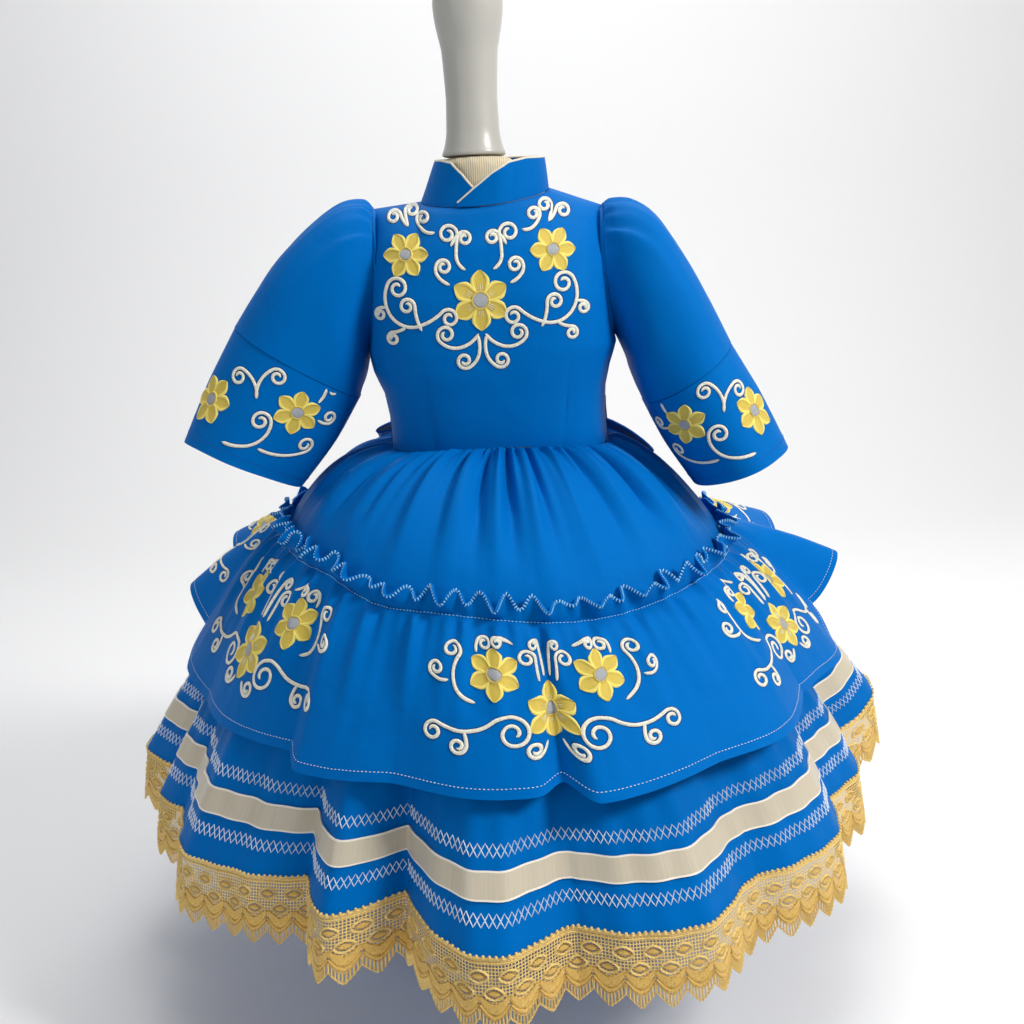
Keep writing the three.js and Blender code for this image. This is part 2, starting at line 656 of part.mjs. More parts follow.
// Sash from a side seam round to the knot, lying on the bodice.
function sash(side) {
  const grid = [1, 0.5, 0].map((share) => span(10, SASH.from, SASH.to).map((t) => {
    const near = (t - SASH.from) / (SASH.to - SASH.from);
    const height = mix(SASH.height, SASH.knotHeight, near);
    const foot = waist(side * t);
    const z = foot.z + SASH.above + (SASH.height - height) / 2 + share * height;
    return backPoint((foot.x - WAIST.centreX) / WAIST.halfWidth, z, WALL + SASH.lift);
  }));
  return wall(side > 0 ? grid : grid.map((row) => [...row].reverse()), false);
}

// Height of the first tier at a place, without its pleats.
function domeHeight(x, y) {
  const degrees = Math.atan2(x, -y) / RAD;
  const top = waist(degrees);
  const low = seam(degrees);
  const inner = hypot(top.x, top.y);
  const v = min(1, max(0, (hypot(x, y) - inner) / (hypot(low.x, low.y) - inner)));
  return mix(top.z, low.z, domeFall(degrees, v));
}

// A loop of the bow: the band leaves the knot, lies on the skirt, turns back and returns.
const LOOP_RIGHT = { length: 158, forward: 14, halfDepth: 5, halfWidth: 19 };
const LOOP_LEFT = { length: 124, forward: 8, halfDepth: 5, halfWidth: 18 };
const LOOP_CLEARANCE = 5;
const LOOP_SETTLES = 0.3;   // share of its length over which a loop comes down to the skirt
const LOOP_ROOT = 12;       // degrees of the turn that the knot hides
const LOOP_STEPS = 16;

function bowLoop(side, size) {
  const turns = span(LOOP_STEPS, LOOP_ROOT, 360 - LOOP_ROOT);
  const grid = [-1, -0.34, 0.34, 1].map((across) => turns.map((t) => {
    const out = (cos(LOOP_ROOT * RAD) - cos(t * RAD)) / 2;
    const narrow = mix(0.3, 1, out ** 0.7);
    const x = KNOT.x + side * (KNOT.halfWidth + GAP * 1.5 + (size.length - 12) * out);
    const y = KNOT.y + 4 - size.forward * out + across * size.halfWidth * narrow;
    const lying = domeHeight(x, y) + LOOP_CLEARANCE + size.halfDepth;
    const middle = mix(KNOT.z, lying, (1 - cos(PI * min(1, out / LOOP_SETTLES))) / 2);
    const crease = 1.5 * cos(across * PI * 1.5) * (1 - out);
    return vec(x, y, middle + size.halfDepth * sin(t * RAD) * narrow + crease);
  }));
  return wall(side > 0 ? grid : grid.map((row) => [...row].reverse()), false);
}

// A tail of the sash falls from the knot over the back of the skirt.
const TAIL_RIGHT = { lean: 38, length: 140, spread: 27 };
const TAIL_LEFT = { lean: -36, length: 130, spread: 26 };
const TAIL = {
  clearance: 10, rootHalf: 9, rootX: 11, skirtRun: 175, skirtStart: 0.1, skirtEnd: 0.88,
  skirtY: 220, ripple: 2.5, rootOut: 1, rootDrop: 3.6, slant: 14,
};

function tailPoint(tail, along, across) {
  const v = max(0, along / tail.length);
  const width = mix(TAIL.rootHalf, tail.spread, min(1, v * 1.4));
  const x = KNOT.x + tail.lean * v ** 0.8 + sign(tail.lean) * TAIL.rootX + across * width;
  const share = min(TAIL.skirtEnd, TAIL.skirtStart + along / TAIL.skirtRun);
  const angle = 180 - Math.atan2(x, mix(KNOT.y, TAIL.skirtY, share)) / RAD;
  const dome = firstTier(angle, share);
  const ripple = TAIL.ripple * cos(across * PI * 1.5);
  const atRoot = max(0, 1 - v * 3);
  return vec(
    x,
    max(dome.y, KNOT.y) + TAIL.clearance + ripple + TAIL.rootOut * atRoot,
    dome.z + TAIL.clearance - TAIL.rootDrop * atRoot,
  );
}

function bowTail(tail) {
  const grid = span(7, 0, 1).map((v) => [1, 0.34, -0.34, -1].map((across) => {
    const cut = v === 1 ? across * TAIL.slant * sign(tail.lean) : 0;
    return tailPoint(tail, v * tail.length + cut, across);
  }));
  return wall(grid, false);
}

function bowKnot() {
  const geometry = new THREE.SphereGeometry(1, 12, 8);
  geometry.rotateX(PI / 2);
  geometry.scale(KNOT.halfWidth, KNOT.halfDepth, KNOT.halfHeight);
  return geometry.translate(KNOT.x, KNOT.y + 3, KNOT.z);
}

// ---- dress form and stand --------------------------------------------------------------
const FORM = { clearance: 1.2, armClearance: 11, ease: 3 };
const FORM_LEVELS = [1, 0.93, 0.84, 0.72, 0.3, 0];
const FORM_NECK = [
  { z: 261, halfWidth: 34, halfDepth: 34, x: -5 },
  { z: 244, halfWidth: 38, halfDepth: 36, x: -3 },
  { z: 231, halfWidth: 46, halfDepth: 40, x: 0 },
];
// Turned block over the neck: radius and height above its foot.
const NECK_BLOCK = {
  x: -7,
  segments: 24,
  profile: [
    [0, 0], [30, 0], [26.5, 8], [24, 20], [23, 50], [25, 90], [29, 108], [31, 122], [31, 132],
    [28, 136], [0, 137],
  ],
};
const FORM_HIPS = [
  { z: -32, halfWidth: 101, halfDepth: 79, x: 4 },
  { z: -67, halfWidth: 104, halfDepth: 82, x: 2 },
  { z: -77, halfWidth: 96, halfDepth: 74, x: 2 },
];
const STAND = {
  poleRadius: 11, poleSegments: 20, baseRadius: 120, baseHeight: 12, baseSegments: 32,
};

// Turns a list of triangle corners into a body by joining the corners that coincide.
function joined(corners) {
  const geometry = new THREE.BufferGeometry();
  const flat = corners.flatMap((p) => [p.x, p.y, p.z]);
  geometry.setAttribute('position', new THREE.Float32BufferAttribute(flat, 3));
  return mergeVertices(geometry, 1e-3);
}

// The bodice's own surface drawn in, as rows from the shoulders down to the waist.
function formHalf(face) {
  const plain = bodiceGrid(face, FORM_LEVELS);
  const grid = face > 0 ? plain : plain.map((row) => [...row].reverse());
  const ways = outward(grid, false);
  return grid.map((row, j) => row.map((p, i) => {
    const edge = i === 0 || i === BODICE_COLUMNS || j === 0;
    const way = edge ? squareToSeam(ways[j][i], true) : ways[j][i];
    const onShoulder = abs(i - BODICE_COLUMNS / 2) <= NECK_STEPS / 2 + SHOULDER_STEPS;
    const clearance = onShoulder ? FORM.clearance : FORM.armClearance;
    const deep = WALL + clearance + FORM.ease * min(1, (1 - FORM_LEVELS[j]) * 1.6);
    return p.clone().addScaledVector(way, -deep);
  }));
}

// Limbless torso: smooth body, closed arm ends, neck and a flat underside at the hips.
function formTorso() {
  const tip = ARMHOLE_STEPS;
  const neck = ARMHOLE_STEPS + SHOULDER_STEPS;
  const end = BODICE_COLUMNS;
  const front = formHalf(1);
  const back = formHalf(-1);
  front.forEach((row, j) => {
    back[j][0] = row[end];
    back[j][end] = row[0];
  });
  for (let i = tip; i <= neck; i += 1) {
    back[0][i] = front[0][end - i];
    back[0][end - i] = front[0][i];
  }
  const corners = [];
  const quad = (a, b, c, d) => corners.push(a, b, c, a, c, d);
  const band = (upper, lower, closed) => {
    const count = closed ? upper.length : upper.length - 1;
    for (let i = 0; i < count; i += 1) {
      const next = (i + 1) % upper.length;
      quad(upper[i], lower[i], lower[next], upper[next]);
    }
  };
  for (let j = 0; j < FORM_LEVELS.length - 1; j += 1) {
    band(front[j], front[j + 1], false);
    band(back[j], back[j + 1], false);
  }
  const cap = (loop, centre) => loop.forEach((p, i) => {
    corners.push(centre, p, loop[(i + 1) % loop.length]);
  });
  const middle = (loop) => loop.reduce((sum, p) => sum.add(p), vec(0, 0, 0))
    .divideScalar(loop.length);
  const armLeft = [...back[0].slice(end - tip), ...front[0].slice(1, tip)];
  const armRight = [...front[0].slice(end - tip), ...back[0].slice(1, tip)];
  cap(armLeft, middle(armLeft));
  cap(armRight, middle(armRight));
  const neckFoot = [...front[0].slice(neck, end - neck), ...back[0].slice(neck, end - neck)];
  const neckRings = FORM_NECK.map((ring) => neckFoot.map((_, i) => {
    const turn = (-90 + 360 * i / neckFoot.length) * RAD;
    return vec(ring.x + ring.halfWidth * sin(turn), -ring.halfDepth * cos(turn), ring.z);
  }));
  const stack = [...neckRings, neckFoot];
  stack.slice(1).forEach((ring, i) => band(stack[i], ring, true));
  cap(neckRings[0], middle(neckRings[0]));
  const waistRing = [...front.at(-1).slice(0, end), ...back.at(-1).slice(0, end)];
  const hipRings = FORM_HIPS.map((ring) => waistRing.map((p) => {
    const turn = Math.atan2(p.x - WAIST.centreX, -p.y);
    return vec(ring.x + ring.halfWidth * sin(turn), -ring.halfDepth * cos(turn), ring.z);
  }));
  const lower = [waistRing, ...hipRings];
  lower.slice(1).forEach((ring, i) => band(lower[i], ring, true));
  cap([...hipRings.at(-1)].reverse(), middle(hipRings.at(-1)));
  return joined(corners);
}

// Turned body from a profile of [radius, height] that starts and ends on the axis.
function lathe(profile, segments, x = 0) {
  const outline = profile.map(([r, z]) => new THREE.Vector2(r, z));
  const geometry = new THREE.LatheGeometry(outline, segments);
  return geometry.rotateX(PI / 2).translate(x, 0, 0);
}

function neckBlock() {
  const foot = FORM_NECK[0].z + GAP;
  const profile = NECK_BLOCK.profile.map(([r, up]) => [r, foot + up]);
  return lathe(profile, NECK_BLOCK.segments, NECK_BLOCK.x);
}

function standPole() {
  const low = STAND.baseHeight + GAP;
  const high = WAIST_HEIGHT + FORM_HIPS.at(-1).z - GAP;
  const r = STAND.poleRadius;
  return lathe([[0, low], [r, low], [r, high], [0, high]], STAND.poleSegments);
}

function standBase() {
  const { baseRadius: r, baseHeight: h } = STAND;
  const profile = [[0, 0], [r - 2, 0], [r, 2], [r, h - 5], [r - 3, h - 2], [r - 30, h], [0, h]];
  return lathe(profile, STAND.baseSegments);
}

// ---- scene graph -----------------------------------------------------------------------
const group = new THREE.Group();
const raised = new THREE.Group();
raised.position.z = WAIST_HEIGHT;
group.add(raised);

function add(name, look, geometry, parent = raised) {
  const mesh = new THREE.Mesh(geometry, new THREE.MeshStandardMaterial(look));
  mesh.name = name;
  parent.add(mesh);
}

add('bodice_front', BLUE, bodiceFront());
add('bodice_back_left', BLUE, bodiceBack(-1));
add('bodice_back_right', BLUE, bodiceBack(1));
add('collar_left', BLUE, collar(COLLAR_LEFT, 0));
add('collar_right', BLUE, collar(COLLAR_RIGHT, WALL + GAP * 2));
add('sleeve_left', BLUE, sleeve(SLEEVE_LEFT, vec(-GAP, 0, 0), true));
add('cuff_left', BLUE, sleeve(CUFF_LEFT, vec(-GAP, 0, -GAP * 1.5)));
add('sleeve_right', BLUE, sleeve(SLEEVE_RIGHT, vec(GAP * 1.6, 0, 0), true));
add('cuff_right', BLUE, sleeve(CUFF_RIGHT, vec(GAP, 0, -GAP * 1.5)));
add('skirt_tier', BLUE, skirtTier());
add('flounce', BLUE, wall(ringGrid(FLOUNCE_COLUMNS, FLOUNCE_LEVELS, flounce), true));
add('lower_tier', BLUE, wall(lowerGrid, true, WALL, level(0, LOWER_LEVELS.length - 1)));
add('ribbon_band', SATIN, ribbonBand());
add('lace_edge', GOLD, laceEdge());
add('sash_left', BLUE, sash(-1));
add('sash_right', BLUE, sash(1));
add('bow_knot', BLUE, bowKnot());
add('bow_loop_left', BLUE, bowLoop(-1, LOOP_LEFT));
add('bow_loop_right', BLUE, bowLoop(1, LOOP_RIGHT));
add('bow_tail_left', BLUE, bowTail(TAIL_LEFT));
add('bow_tail_right', BLUE, bowTail(TAIL_RIGHT));
add('form_torso', JERSEY, formTorso());
add('neck_block', WHITE, neckBlock());
add('stand_pole', STEEL, standPole(), group);
add('stand_base', STEEL, standBase(), group);

export default group;
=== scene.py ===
"""A girl's escaramuza dress on its form: cloth, embroidery, ribbon, lace and bow.

Lengths in the tables are millimetres. Heights are from the waist seam, which lies
WAIST_HEIGHT above the floor. Angles are degrees from the front towards +X.
"""

import logging
import math
from dataclasses import dataclass, field
from enum import Enum
from typing import Callable, Sequence

import bpy
import numpy as np
from mathutils import Matrix, Vector
from mathutils.bvhtree import BVHTree


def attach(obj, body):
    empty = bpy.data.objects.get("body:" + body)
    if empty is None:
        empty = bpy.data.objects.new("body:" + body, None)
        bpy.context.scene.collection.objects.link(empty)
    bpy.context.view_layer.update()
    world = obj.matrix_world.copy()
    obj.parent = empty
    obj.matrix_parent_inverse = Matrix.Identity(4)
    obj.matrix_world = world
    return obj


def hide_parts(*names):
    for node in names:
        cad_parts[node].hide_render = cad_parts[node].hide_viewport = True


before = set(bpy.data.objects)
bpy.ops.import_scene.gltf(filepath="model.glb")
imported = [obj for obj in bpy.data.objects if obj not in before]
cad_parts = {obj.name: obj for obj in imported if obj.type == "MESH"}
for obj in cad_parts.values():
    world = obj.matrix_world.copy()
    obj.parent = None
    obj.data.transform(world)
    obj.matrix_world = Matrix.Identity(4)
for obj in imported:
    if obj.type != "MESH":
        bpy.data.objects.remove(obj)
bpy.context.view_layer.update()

LOG = logging.getLogger("dress")
Array = np.ndarray
BODY = "root"

WALL = 1.8
THIN_WALL = 1.2
GAP = 0.3
WAIST_HEIGHT = 522.0
SEED = 7


# ---- measures shared by the whole dress --------------------------------------------------
BODY_SECTIONS = np.array([
    # height, half width, front depth, back depth, sideways centre
    [0, 102.5, 80, 76, 6.5],
    [28, 101.8, 81, 77, 5.2],
    [53, 103.5, 83, 78, 3.5],
    [73, 109.3, 86, 80, 1.3],
    [93, 115, 87, 81, 2],
    [138, 111.5, 85, 82, 1],
    [183, 108, 76, 76, 1.5],
    [219, 106, 62, 62, 2],
])

SEAM_TABLE = np.array([
    # angle, radius, height
    [-150, 214, -80], [-100, 206, -74], [-70, 205, -75], [-48, 208, -79], [-20, 220, -96],
    [22, 222, -110], [60, 222, -101], [100, 221, -96], [150, 218, -86],
], dtype=float)

FLOUNCE_FOLDS = np.array([
    [-177, 344, -146], [-163, 318, -152], [-148, 346, -134], [-134, 318, -140],
    [-120, 346, -126], [-111, 310, -146], [-102, 334, -154], [-92, 300, -182],
    [-81, 309, -200], [-67, 292, -208], [-56, 296, -210], [-38, 282, -209],
    [-33, 301, -214], [-17, 293, -211], [5, 315, -211], [9, 306, -209], [13, 327, -214],
    [32, 317, -210], [48, 324, -210], [61, 302, -209], [85, 332, -212], [94, 318, -188],
    [101, 364, -146], [110, 324, -150], [122, 358, -130], [136, 324, -140],
    [150, 352, -134], [166, 320, -150],
], dtype=float)

LOWER_FOLDS = np.array([
    [-180, 366, -296], [-170, 336, -298], [-160, 364, -296], [-149, 334, -298],
    [-138, 366, -296], [-127, 336, -298], [-116, 370, -298], [-105, 338, -302],
    [-91, 370, -303], [-81, 330, -306], [-73, 341, -307], [-66, 327, -307],
    [-53, 341, -307], [-33, 303, -307], [-25, 335, -307], [-16, 290, -307],
    [-3, 360, -308], [9, 334, -307], [21, 364, -308], [36, 338, -307], [48, 358, -306],
    [60, 332, -304], [70, 345, -301], [78, 328, -292], [92, 378, -268], [105, 342, -272],
    [118, 378, -272], [130, 340, -276], [142, 374, -280], [155, 338, -286],
    [167, 368, -292],
], dtype=float)

# outer X, outer Z, inner X, inner Z, half depth, middle in Y, sag of the front, gathers
SLEEVE_LEFT = np.array([
    [-101, 219, -113, 90, 43, 0, 0, 0], [-110, 225, -115, 80, 51, -1, 0, 2.2],
    [-131, 223, -117, 70, 56, -3, 1, 2.2], [-160, 205, -119, 62, 58, -6, 1, 1],
    [-190, 177, -120, 57, 57, -9, 0, 0], [-214, 146, -121, 53, 55, -12, -1, 0],
    [-233, 119, -123, 50, 53, -15, -2, 0],
], dtype=float)
CUFF_LEFT = np.array([
    [-233, 119, -123, 50, 53, -15, -2, 0], [-258, 71, -150, 8, 54, -20, -6, 0],
    [-286, 15, -184, -33, 56, -25, -11, 0],
], dtype=float)
SLEEVE_RIGHT = np.array([
    [108, 215, 118, 99, 43, 0, 0, 0], [117, 218, 122, 90, 51, -1, 0, 2.2],
    [135, 217, 126, 81, 57, -3, 1, 2.2], [157, 203, 129, 72, 60, -6, 2, 1],
    [181, 168, 131, 61, 61, -9, 2, 0], [203, 129, 135, 49, 60, -12, 3, 0],
    [223, 89, 142, 36, 59, -15, 3, 0],
], dtype=float)
CUFF_RIGHT = np.array([
    [223, 89, 142, 36, 59, -15, 3, 0], [247, 44, 163, -4, 60, -20, 1, 0],
    [274, -9, 189, -43, 61, -25, -2, 0],
], dtype=float)

# angle, height of the collar's free edge
COLLAR_LEFT = np.array([
    [-180, 36], [-60, 36], [-42, 34], [-26, 25], [-12, 14], [-2, 3],
], dtype=float)
COLLAR_RIGHT = np.array([
    [-24, 3], [-12, 13], [4, 25], [20, 33], [40, 36], [180, 36],
], dtype=float)


# ---- small maths --------------------------------------------------------------------------
def mix(a: Array, b: Array, t: Array) -> Array:
    """Returns the value a share t of the way from a to b."""
    return a + (b - a) * t


def ease(t: Array) -> Array:
    """Returns 0 to 1 with a rounded start and end, for t from 0 to 1."""
    return (1 - np.cos(np.pi * np.clip(t, 0, 1))) / 2


def column(*parts: Array) -> Array:
    """Joins x, y and z of any one shape into points."""
    return np.stack(np.broadcast_arrays(*parts), axis=-1).astype(float)


def polar(degrees: Array, r: Array, z: Array) -> Array:
    """Returns points round the skirt's axis."""
    turn = np.radians(degrees)
    return column(r * np.sin(turn), -r * np.cos(turn), z)


def unit(vectors: Array) -> Array:
    """Returns the vectors at length 1."""
    length = np.linalg.norm(vectors, axis=-1, keepdims=True)
    return vectors / np.maximum(length, 1e-12)


def path_run(line: Array) -> Array:
    """Returns how far each point of a line lies along it."""
    return np.concatenate([[0], np.cumsum(np.linalg.norm(np.diff(line, axis=0), axis=1))])


def cells(rows: int, columns: int) -> tuple[Array, Array]:
    """Returns the row and the column of each cell of a grid."""
    row, across = np.meshgrid(np.arange(rows), np.arange(columns), indexing="ij")
    return row.ravel(), across.ravel()


def wrapped(degrees: Array) -> Array:
    """Returns angles between -180 and 180."""
    return np.mod(degrees + 180, 360) - 180


def bracket(table: Array, degrees: Array) -> tuple[Array, Array, Array]:
    """Finds the rows of a round table on both sides of each angle.

    Args:
        table: rows that start with an angle, in rising order.
        degrees: angles, of any shape.

    Returns:
        The lower rows, the upper rows, and how far between them each angle lies.
    """
    first = table[0, 0]
    angle = first + np.mod(np.asarray(degrees, dtype=float) - first, 360.0)
    above = np.searchsorted(table[:, 0], angle, side="right")
    low = table[above - 1]
    high = table[above % len(table)]
    width = np.mod(high[..., 0] - low[..., 0], 360.0)
    return low, high, (angle - low[..., 0]) / width


def smooth(table: Array, key: int, degrees: Array) -> Array:
    """Returns a value of a round table, with an even change from row to row."""
    low, high, t = bracket(table, degrees)
    return mix(low[..., key], high[..., key], ease(t))


PINCH = 0.62


def fold(table: Array, key: int, degrees: Array) -> Array:
    """Returns a value with full crests and pinched hollows, as gathered cloth falls."""
    low, high, t = bracket(table, degrees)
    a, b = low[..., key], high[..., key]
    lift = np.where(b > a, np.sin(t * np.pi / 2), 1 - np.sin((1 - t) * np.pi / 2))
    return mix(a, b, mix(ease(t), lift, PINCH))


@dataclass(frozen=True)
class Waves:
    """Even waves round a tier that drift from their even spacing."""

    count: int
    drift: float
    repeats: int
    height: float

    def at(self, degrees: Array) -> Array:
        """Returns how far each angle's wave stands out."""
        turn = self.count * degrees + self.drift * np.sin(np.radians(self.repeats * degrees))
        return self.height * np.cos(np.radians(turn))


@dataclass(frozen=True)
class Creases:
    """Soft, irregular unevenness of cloth, as a sum of long waves in any direction."""

    seed: int
    height: float
    around: int
    down: float
    terms: int = 14

    def at(self, turn: Array, v: Array) -> Array:
        """Returns the unevenness.

        Args:
            turn: place round the piece, in radians, so that the ends of a ring meet.
            v: place down the piece, from 0 to 1.

        Returns:
            Millimetres outwards.
        """
        rng = np.random.default_rng(self.seed)
        total = np.zeros(np.broadcast(turn, v).shape)
        for _ in range(self.terms):
            across = int(rng.integers(1, self.around + 1))
            along = rng.uniform(-self.down, self.down)
            phase = rng.uniform(0, 2 * np.pi)
            total = total + np.sin(across * turn + along * v + phase)
        return total * self.height / math.sqrt(self.terms)


PLEATS = Waves(24, 110, 3, 2.6)
HEADING = Waves(30, 60, 4, 5.5)
GATHERS = Waves(40, 50, 5, 2.4)
LOWER_WAVES = Waves(26, 70, 3, 2.2)


# ---- surfaces of the dress ----------------------------------------------------------------
SQUARENESS = 2.5
CHEST_Z = 140.0
CHEST_SQUARENESS = 3.0
WAIST_X = 6.5
WAIST_HALF = 102.5
WAIST_RISE = 8.0
SHOULDER_TURN = 123.0
ARMHOLE_HOLLOW = 6.0
ARMHOLE_CREASE = 3.0
SIDE_LIMIT = 0.985


def body(key: int, z: Array) -> Array:
    """Returns a value of the body's sections at a height."""
    return np.interp(z, BODY_SECTIONS[:, 0], BODY_SECTIONS[:, key])


def rounded(q: Array, power: Array) -> Array:
    """Returns the depth share of a squared circle at the width share q."""
    return np.maximum(0, 1 - np.abs(q) ** power) ** (1 / power)


def squareness(z: Array) -> Array:
    """Returns the exponent of the body's section at a height."""
    return mix(SQUARENESS, CHEST_SQUARENESS, np.clip(z / CHEST_Z, 0, 1))


def waist(degrees: Array) -> Array:
    """Returns points of the waist seam."""
    x = np.sin(np.radians(degrees))
    y = np.cos(np.radians(degrees))
    depth = np.where(y > 0, BODY_SECTIONS[0, 2], BODY_SECTIONS[0, 3])
    r = ((np.abs(x) / WAIST_HALF) ** SQUARENESS + (np.abs(y) / depth) ** SQUARENESS)
    r = r ** (-1 / SQUARENESS)
    across = r * x / WAIST_HALF
    rise = np.where(y > 0, WAIST_RISE * (1 - across * across), 0)
    return column(WAIST_X + r * x, -r * y, rise)


def armhole(rings: Array, degrees: Array) -> Array:
    """Returns points of an armhole: 0 at the shoulder, 90 in front, 180 under the arm."""
    out_x, out_z, in_x, in_z, depth, middle = rings[0, :6]
    turn = np.radians(degrees)
    lengthwise = (1 + np.cos(turn)) / 2
    hollow = -np.sign(out_x) * ARMHOLE_HOLLOW * np.sin(turn) ** 2
    return column(
        mix(in_x, out_x, lengthwise) + hollow,
        middle - depth * np.sin(turn),
        mix(in_z, out_z, lengthwise),
    )


NECK_X = 1.5
NECK_Z = 228.0
NECK_HALF_WIDTH = 58.5
NECK_FRONT_DEPTH = 50.0
NECK_BACK_DEPTH = 45.0
NECK_DIP = 11.0
NECK_LEAN = 4.0


def neck_hole(degrees: Array) -> Array:
    """Returns points of the neck hole."""
    y = np.cos(np.radians(degrees))
    side = np.sin(np.radians(degrees))
    depth = np.where(y > 0, NECK_FRONT_DEPTH, NECK_BACK_DEPTH)
    height = NECK_Z - NECK_DIP * y + NECK_LEAN * side
    return column(NECK_X + NECK_HALF_WIDTH * side, -depth * y, height)


# exponents of the dome's fall at its left and right sides
DOME_FALL = (2.3, 1.6)


def dome_fall(degrees: Array, v: Array) -> Array:
    """Returns how far down the first tier's dome has come at the share v of its breadth."""
    return v ** mix(*DOME_FALL, (1 + np.sin(np.radians(degrees))) / 2)


def first_tier(degrees: Array, v: Array) -> Array:
    """Returns points of the first tier, a dome of soft pleats that fade to the seam."""
    v = np.broadcast_to(v, np.shape(degrees)).astype(float)
    top = waist(degrees)
    turn = np.radians(degrees)
    r = smooth(SEAM_TABLE, 1, degrees)
    z = smooth(SEAM_TABLE, 2, degrees) - 2
    low = polar(degrees, r, z)
    fall = dome_fall(degrees, v)
    share = 0.2 + np.sin(np.pi * np.minimum(1, v * 1.15)) ** 0.8
    edge = np.where(v >= 1, 0.0, np.where(v <= 0, 0.3, 1.0))
    edge = edge * np.clip((1 - v) * 12, 0, 1) * np.clip(0.3 + v * 12, 0, 1)
    out = column(np.sin(turn), -np.cos(turn), 0.9 * (1 - v))
    base = column(
        mix(top[..., 0], low[..., 0], v),
        mix(top[..., 1], low[..., 1], v),
        mix(top[..., 2] - GAP, low[..., 2], fall),
    )
    return base + out * (PLEATS.at(degrees) * share * edge)[..., None]


# the angle of the middle group of flowers, and how deep the fold through it is pinched
MIDDLE_GROUP = 8.5
GROUP_PINCH = 9.0
FLOUNCE_LENGTH = 150.0
HEADING_HEIGHT = 16.0
LOWER_LENGTH = 245.0
RIBBON_ABOVE_HEM = 37.5
RIBBON_WIDTH = 21.5
ZIGZAGS_ABOVE_HEM = (73.0, 24.5)
ZIGZAG_STITCH = 5.8
LOWER_COLUMNS = 864

def flounce_base(degrees: Array, along: Array) -> Array:
    """Returns points of the flounce without its small puckers.

    Args:
        degrees: angles round the skirt.
        along: millimetres down from the seam, negative above it, in the heading.

    Returns:
        Points about the waist.
    """
    r = smooth(SEAM_TABLE, 1, degrees) + WALL - GAP * 1.6
    z = smooth(SEAM_TABLE, 2, degrees)
    above = np.clip(-along / HEADING_HEIGHT, 0, 1)
    v = np.clip(along / FLOUNCE_LENGTH, 0, 1)
    hem = fold(FLOUNCE_FOLDS, 1, degrees)
    low = smooth(FLOUNCE_FOLDS, 2, degrees)
    share = np.sin(np.pi * np.minimum(1, v * 1.6)) ** 0.7
    radius = mix(r, hem, v ** 0.86) + GATHERS.at(degrees) * share
    radius = radius + above * (1 + HEADING.at(degrees))
    return polar(degrees, radius, mix(z, low, v ** 1.12) + above * HEADING_HEIGHT)


def lower_base(degrees: Array, v: Array) -> Array:
    """Returns points of the lower tier from the seam to the lace."""
    top = smooth(SEAM_TABLE, 1, degrees)
    high = smooth(SEAM_TABLE, 2, degrees) - 2 - GAP
    hem = fold(LOWER_FOLDS, 1, degrees)
    low = smooth(LOWER_FOLDS, 2, degrees)
    r = mix(top, hem, v * (1.05 - 0.05 * v * v))
    return polar(degrees, r + LOWER_WAVES.at(degrees) * v, mix(high, low, v))


class Surface:
    """A surface that is worked out from two measures, u round the piece and v down it."""

    def points(self, u: Array, v: Array) -> Array:
        """Returns the points at u and v, which have one shape."""
        raise NotImplementedError

    def normals(self, u: Array, v: Array, du: float, dv: float) -> Array:
        """Returns outward directions, from steps of du and dv to each side."""
        along = self.points(u + du, v) - self.points(u - du, v)
        down = self.points(u, v + dv) - self.points(u, v - dv)
        return unit(np.cross(down, along))


class SkirtTier(Surface):
    """The first tier, from the waist seam down to the flounce's seam."""

    pleat_angles = np.array([
        -168, -149, -131, -117, -98, -84, -69, -55, -41, -29, -17, -6, 4, 15, 27, 36, 52, 66,
        83, 97, 118, 134, 151, 170,
    ], dtype=float)
    creases = Creases(SEED + 1, 0.9, 14, 5)

    def points(self, u: Array, v: Array) -> Array:
        """Returns points; u is the angle and v goes from 0 to 1."""
        base = first_tier(u, v)
        turn = np.radians(u)
        near = np.abs(wrapped(u[..., None] - self.pleat_angles))
        width = 0.9 + 1.9 * v[..., None]
        groove = np.exp(-((near / width) ** 2)).sum(axis=-1)
        long = 1 + 0.6 * np.sin(7 * turn + 1)
        depth = 7.0 * long * np.sin(np.pi * np.clip(v * 1.15 + 0.06, 0, 1)) ** 1.1
        puckers = 2.7 * np.cos(np.radians(52 * u + 90 * np.sin(3 * turn)))
        puckers = puckers + 1.3 * np.cos(np.radians(97 * u + 60 * np.sin(5 * turn)))
        at_waist = puckers * np.exp(-v * 3.2) * np.clip(v * 24, 0, 1)
        settle = np.clip((1 - v) * 9, 0, 1)
        out = at_waist - groove * depth * settle + self.creases.at(turn, v) * settle
        way = column(np.sin(turn), -np.cos(turn), 0.8 * (1 - v))
        return base + way * out[..., None]


